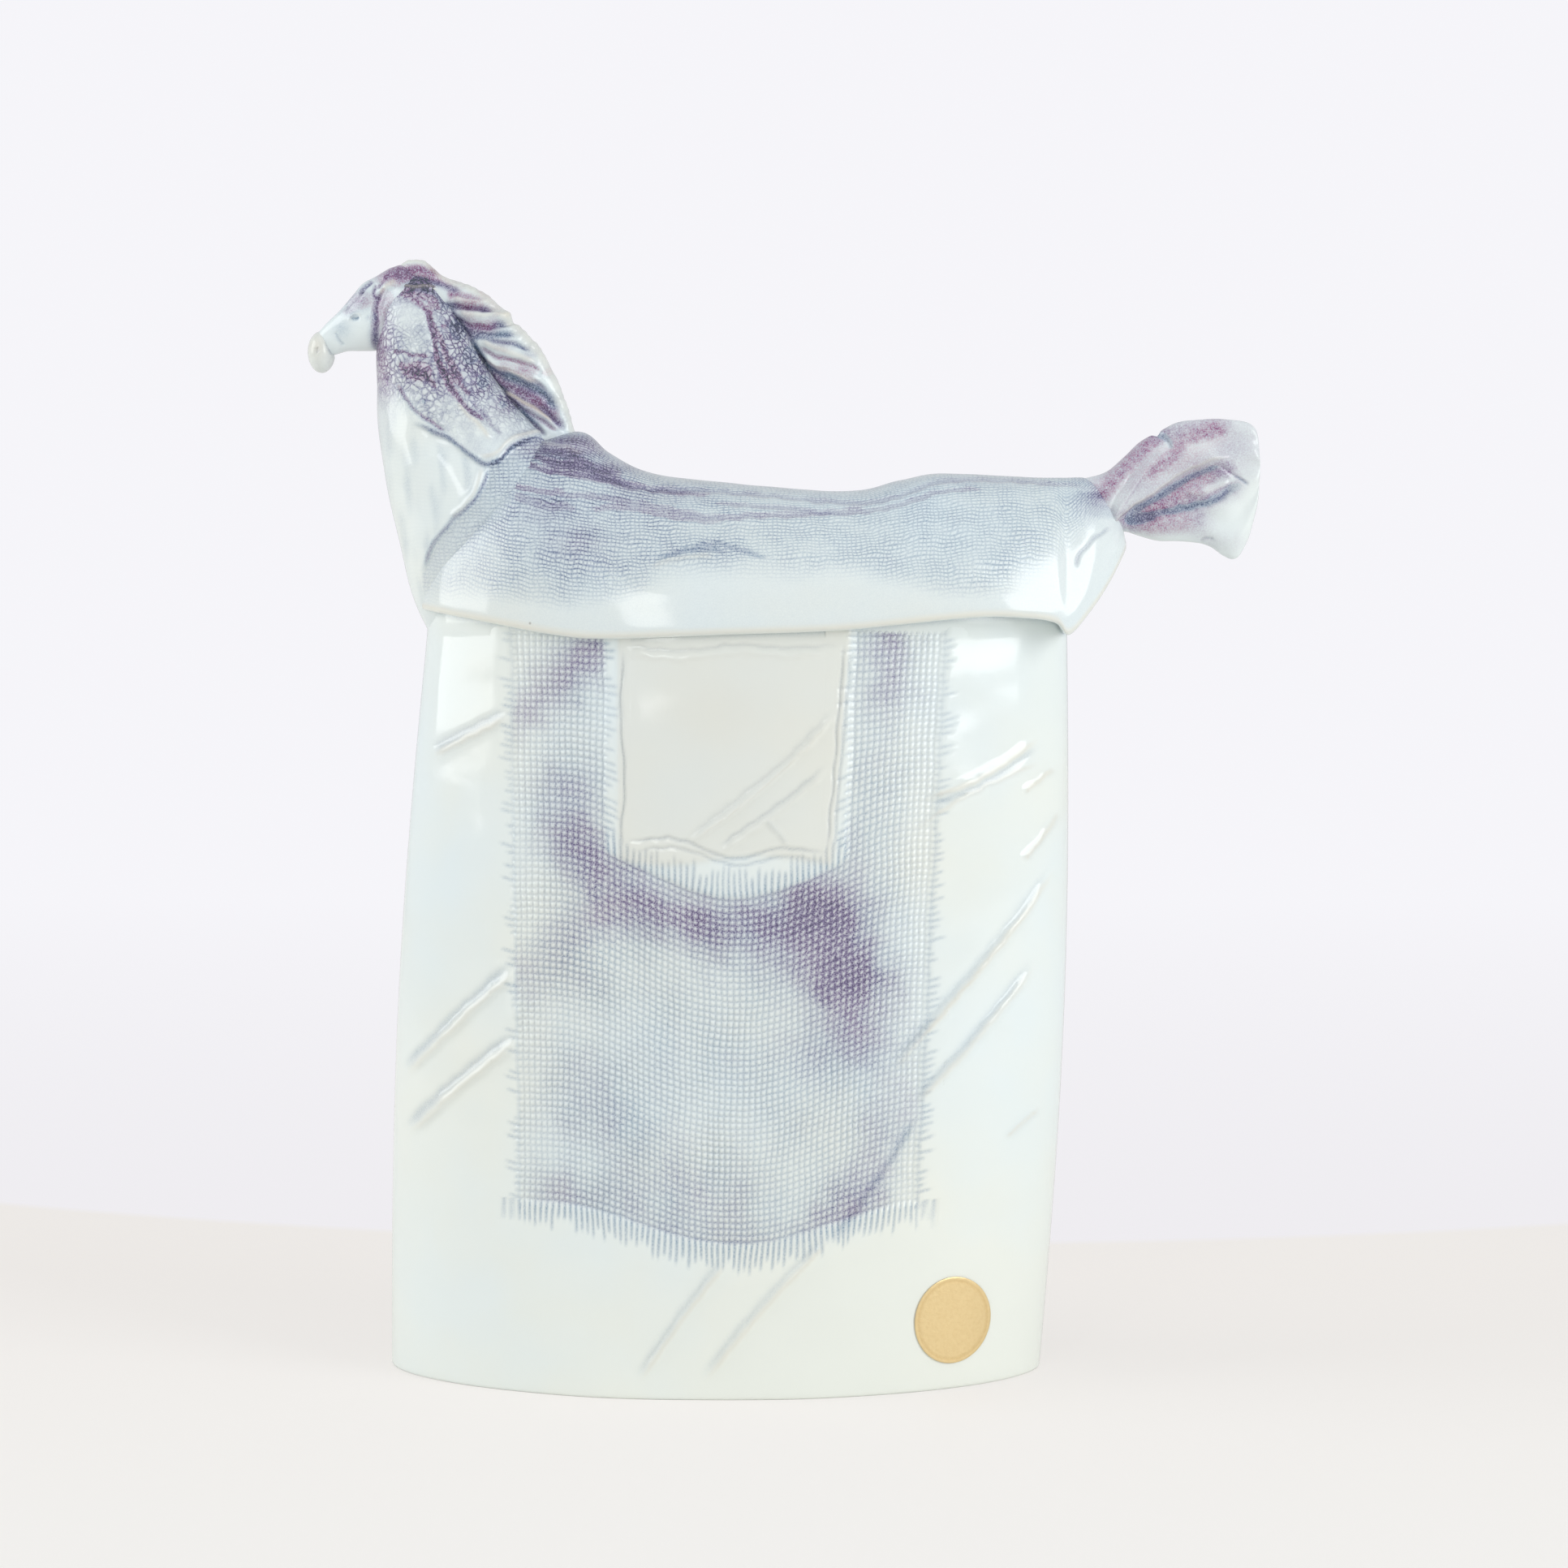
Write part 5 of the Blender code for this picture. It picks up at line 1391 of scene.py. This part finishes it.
def tail():
    """A slab between the upper and lower outlines, with folds that grow towards the tip."""
    scale = (TAIL_LENGTH, TAIL_HEIGHT)
    upper = TAIL_ROOT + smooth_curve(np.multiply(TAIL_UPPER, scale), TAIL_RINGS, TIP_SHARE)
    lower_edge = TAIL_ROOT + smooth_curve(np.multiply(TAIL_LOWER, scale), TAIL_RINGS, TIP_SHARE)
    half = read_along(TAIL_THICKNESS, TAIL_RINGS) * TAIL_DEPTH / 2
    turn = oval_turn(150, 130)
    rings = slab(upper, lower_edge, half, turn, 0.4)
    x, z = rings[..., 0], rings[..., 2]
    across = (1 - np.cos(turn)) / 2
    place = np.linspace(0, 1, TAIL_RINGS)
    grow = step(place, 0.2, 0.7) * (1 - step(place, 0.85, 1))
    fold = np.cos(2 * math.pi * 3.4 * across) * np.sin(turn)
    relief, pool, _, thin = read_marks(x, z, TAIL_MARKS)
    relief = relief + 0.3 * ripple(x, z, 14, 71)
    dark = strokes(x, z, [([(116, 270), (121, 273), (127, 280), (135, 288)], 5.6, 0.8),
                          ([(137, 288.6), (146, 291.4), (156, 291)], 4.4, 0.5),
                          ([(134, 279), (140, 282.6), (147, 286.8), (154, 290.6)], 4.6, 0.72),
                          ([(127, 264.6), (134, 268.4), (142, 273), (150, 277), (157, 279)], 4.2, 0.78),
                          ([(129, 263.4), (140, 267.4), (150, 270.4), (159, 273.6)], 3.4, 0.72),
                          ([(130, 262), (138, 261.6), (148, 263.8)], 4.4, 0.6),
                          ([(150, 256.4), (160, 257)], 3, 0.2)])
    # Pale strokes clear the pooled glaze. Some are thin glaze on the tail's edges, and some are painted
    # highlights: one along the main fold's ridge and a patch on the upper edge towards the tip.
    pale = strokes(x, z, [([(122.4, 268.6), (127, 275.3), (133.2, 281.5), (139, 286.6)], 1.8, 0.7),
                          ([(125.6, 267.6), (133, 272.8), (141, 278.2), (146, 281.8)], 1.6, 0.4),
                          ([(147, 284.6), (153, 286), (158, 286.4)], 2.4, 0.9),
                          ([(151, 272.8), (155, 274.6), (159, 276.2)], 1.2, 0.7),
                          ([(161, 290), (163.6, 284), (164.4, 278)], 3.2, 0.4),
                          ([(163, 270), (161, 262), (158, 254)], 5, 0.5),
                          ([(122, 260), (134, 257.6), (146, 257.2), (154, 252)], 1.7, 0.95)])
    speck = np.clip(0.84 + 0.14 * ripple(x, z, 3, 72), 0.66, 1.05)
    pool = np.maximum(pool, dark * speck) * (1 - pale)
    lilac = patches(x, z, [(131, 277, 12, 10, 0.4), (144, 281, 18, 7, 0.4), (158, 286, 10, 9, 0.36)])
    pool = np.clip(np.maximum(pool, lilac) + 0.03, 0, 1.2)
    warm = 1.22 + 0.85 * strokes(x, z, [([(119, 272), (126, 279), (133, 285)], 4, 0.8),
                                       ([(135, 279), (146, 286), (153, 290)], 4, 1.0),
                                       ([(142, 272.4), (150, 276)], 3, 1.0),
                                       ([(131, 265), (137, 267.4)], 2.4, 0.6),
                                       ([(134, 262), (144, 263)], 3.4, 0.8)])
    values = {"pool": pool, "thin": thin,
              "violet": np.clip(warm * (1 - 0.6 * (relief < -0.5)), 0, 1.7)}
    rings = lift(rings, relief)
    rings[..., 1] -= 0.6 * grow[:, None] * fold
    return ring_piece("folded_tail", rings, values, glaze)


tail()

# %% [markdown]
# ## The foil label
# A round label of gold foil on paper sits low on the front. It is left plain. The disc follows the
# curve of the body, its rim is pressed down a little, and the foil has fine wrinkles.

# %% Label
LABEL_DIAMETER = 26.5
LABEL_GAP = 0.3
LABEL_THICKNESS = 0.25
LABEL_HEIGHT = 21.3
LABEL_FROM_MIDDLE = 73.6
LABEL_RIM = 0.9
LABEL_GROOVE = 0.05
FOIL_PALE = (0.84, 0.66, 0.36, 1)
FOIL_DARK = (0.66, 0.46, 0.20, 1)


def make_foil():
    """Gold foil: mostly metallic, with a fine grain and a slightly darker rim."""
    material, shader, start = new_material("gold_foil")
    place = start.node("ShaderNodeTexCoord", (), (), 3)
    grain = start.noise(place, 900, 3)
    rim = start.attribute("rim")
    colour = (grain * 0.5 + rim * 0.4).clip().mix(FOIL_PALE, FOIL_DARK)
    connect(colour, shader, "Base Color")
    connect(0.24 + 0.2 * grain, shader, "Roughness")
    shader.inputs["Metallic"].default_value = 0.65
    bump = start.node("ShaderNodeBump", (), {"Strength": 0.5, "Distance": 0.0002, "Height": grain})
    connect(bump, shader, "Normal")
    return material


def foil_label():
    """Rings from the middle of the back out to the edge and in over the face. X and Z go as the
    cosine and sine round the middle, and Y follows the body's front."""
    ahead = body_front(LABEL_FROM_MIDDLE + 1, LABEL_HEIGHT)
    behind = body_front(LABEL_FROM_MIDDLE - 1, LABEL_HEIGHT)
    lean = 1 / math.hypot(1, (ahead - behind) / 2)
    turn = np.linspace(0, 2 * math.pi, 96, endpoint=False)
    back = [(k, 0) for k in np.linspace(0.02, 0.99, 8)]
    face = [(1, 0.3), (1, 0.7)] + [(k, 1) for k in np.linspace(0.99, 0.02, 26)]
    radius, up = (np.array(c)[:, None] for c in zip(*(back + face)))
    x = LABEL_FROM_MIDDLE + radius * LABEL_DIAMETER / 2 * np.cos(turn) * lean
    z = LABEL_HEIGHT + radius * LABEL_DIAMETER / 2 * np.sin(turn)
    groove = LABEL_GROOVE * bell(radius - LABEL_RIM, 0.025) * up
    out = body_front(x, z) + (LABEL_GAP + (LABEL_THICKNESS - groove) * up) / lean
    rings = np.stack([x, -out, z + 0 * x], axis=-1)
    count, columns = rings.shape[:2]
    quads, fans = ring_faces(count, columns)
    points = np.vstack([rings.reshape(-1, 3), rings[[0, -1]].mean(axis=1)])
    quads, fans = face_outwards(points, quads, fans)
    edge = np.concatenate([(bell(radius - LABEL_RIM, 0.03) + 0 * x).ravel(), [0, 0]])
    piece = build("foil_label_disc", points, quads, fans, {"rim": edge}, make_foil())
    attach(piece, "root")
    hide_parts("foil_label")
    return piece


foil_label()
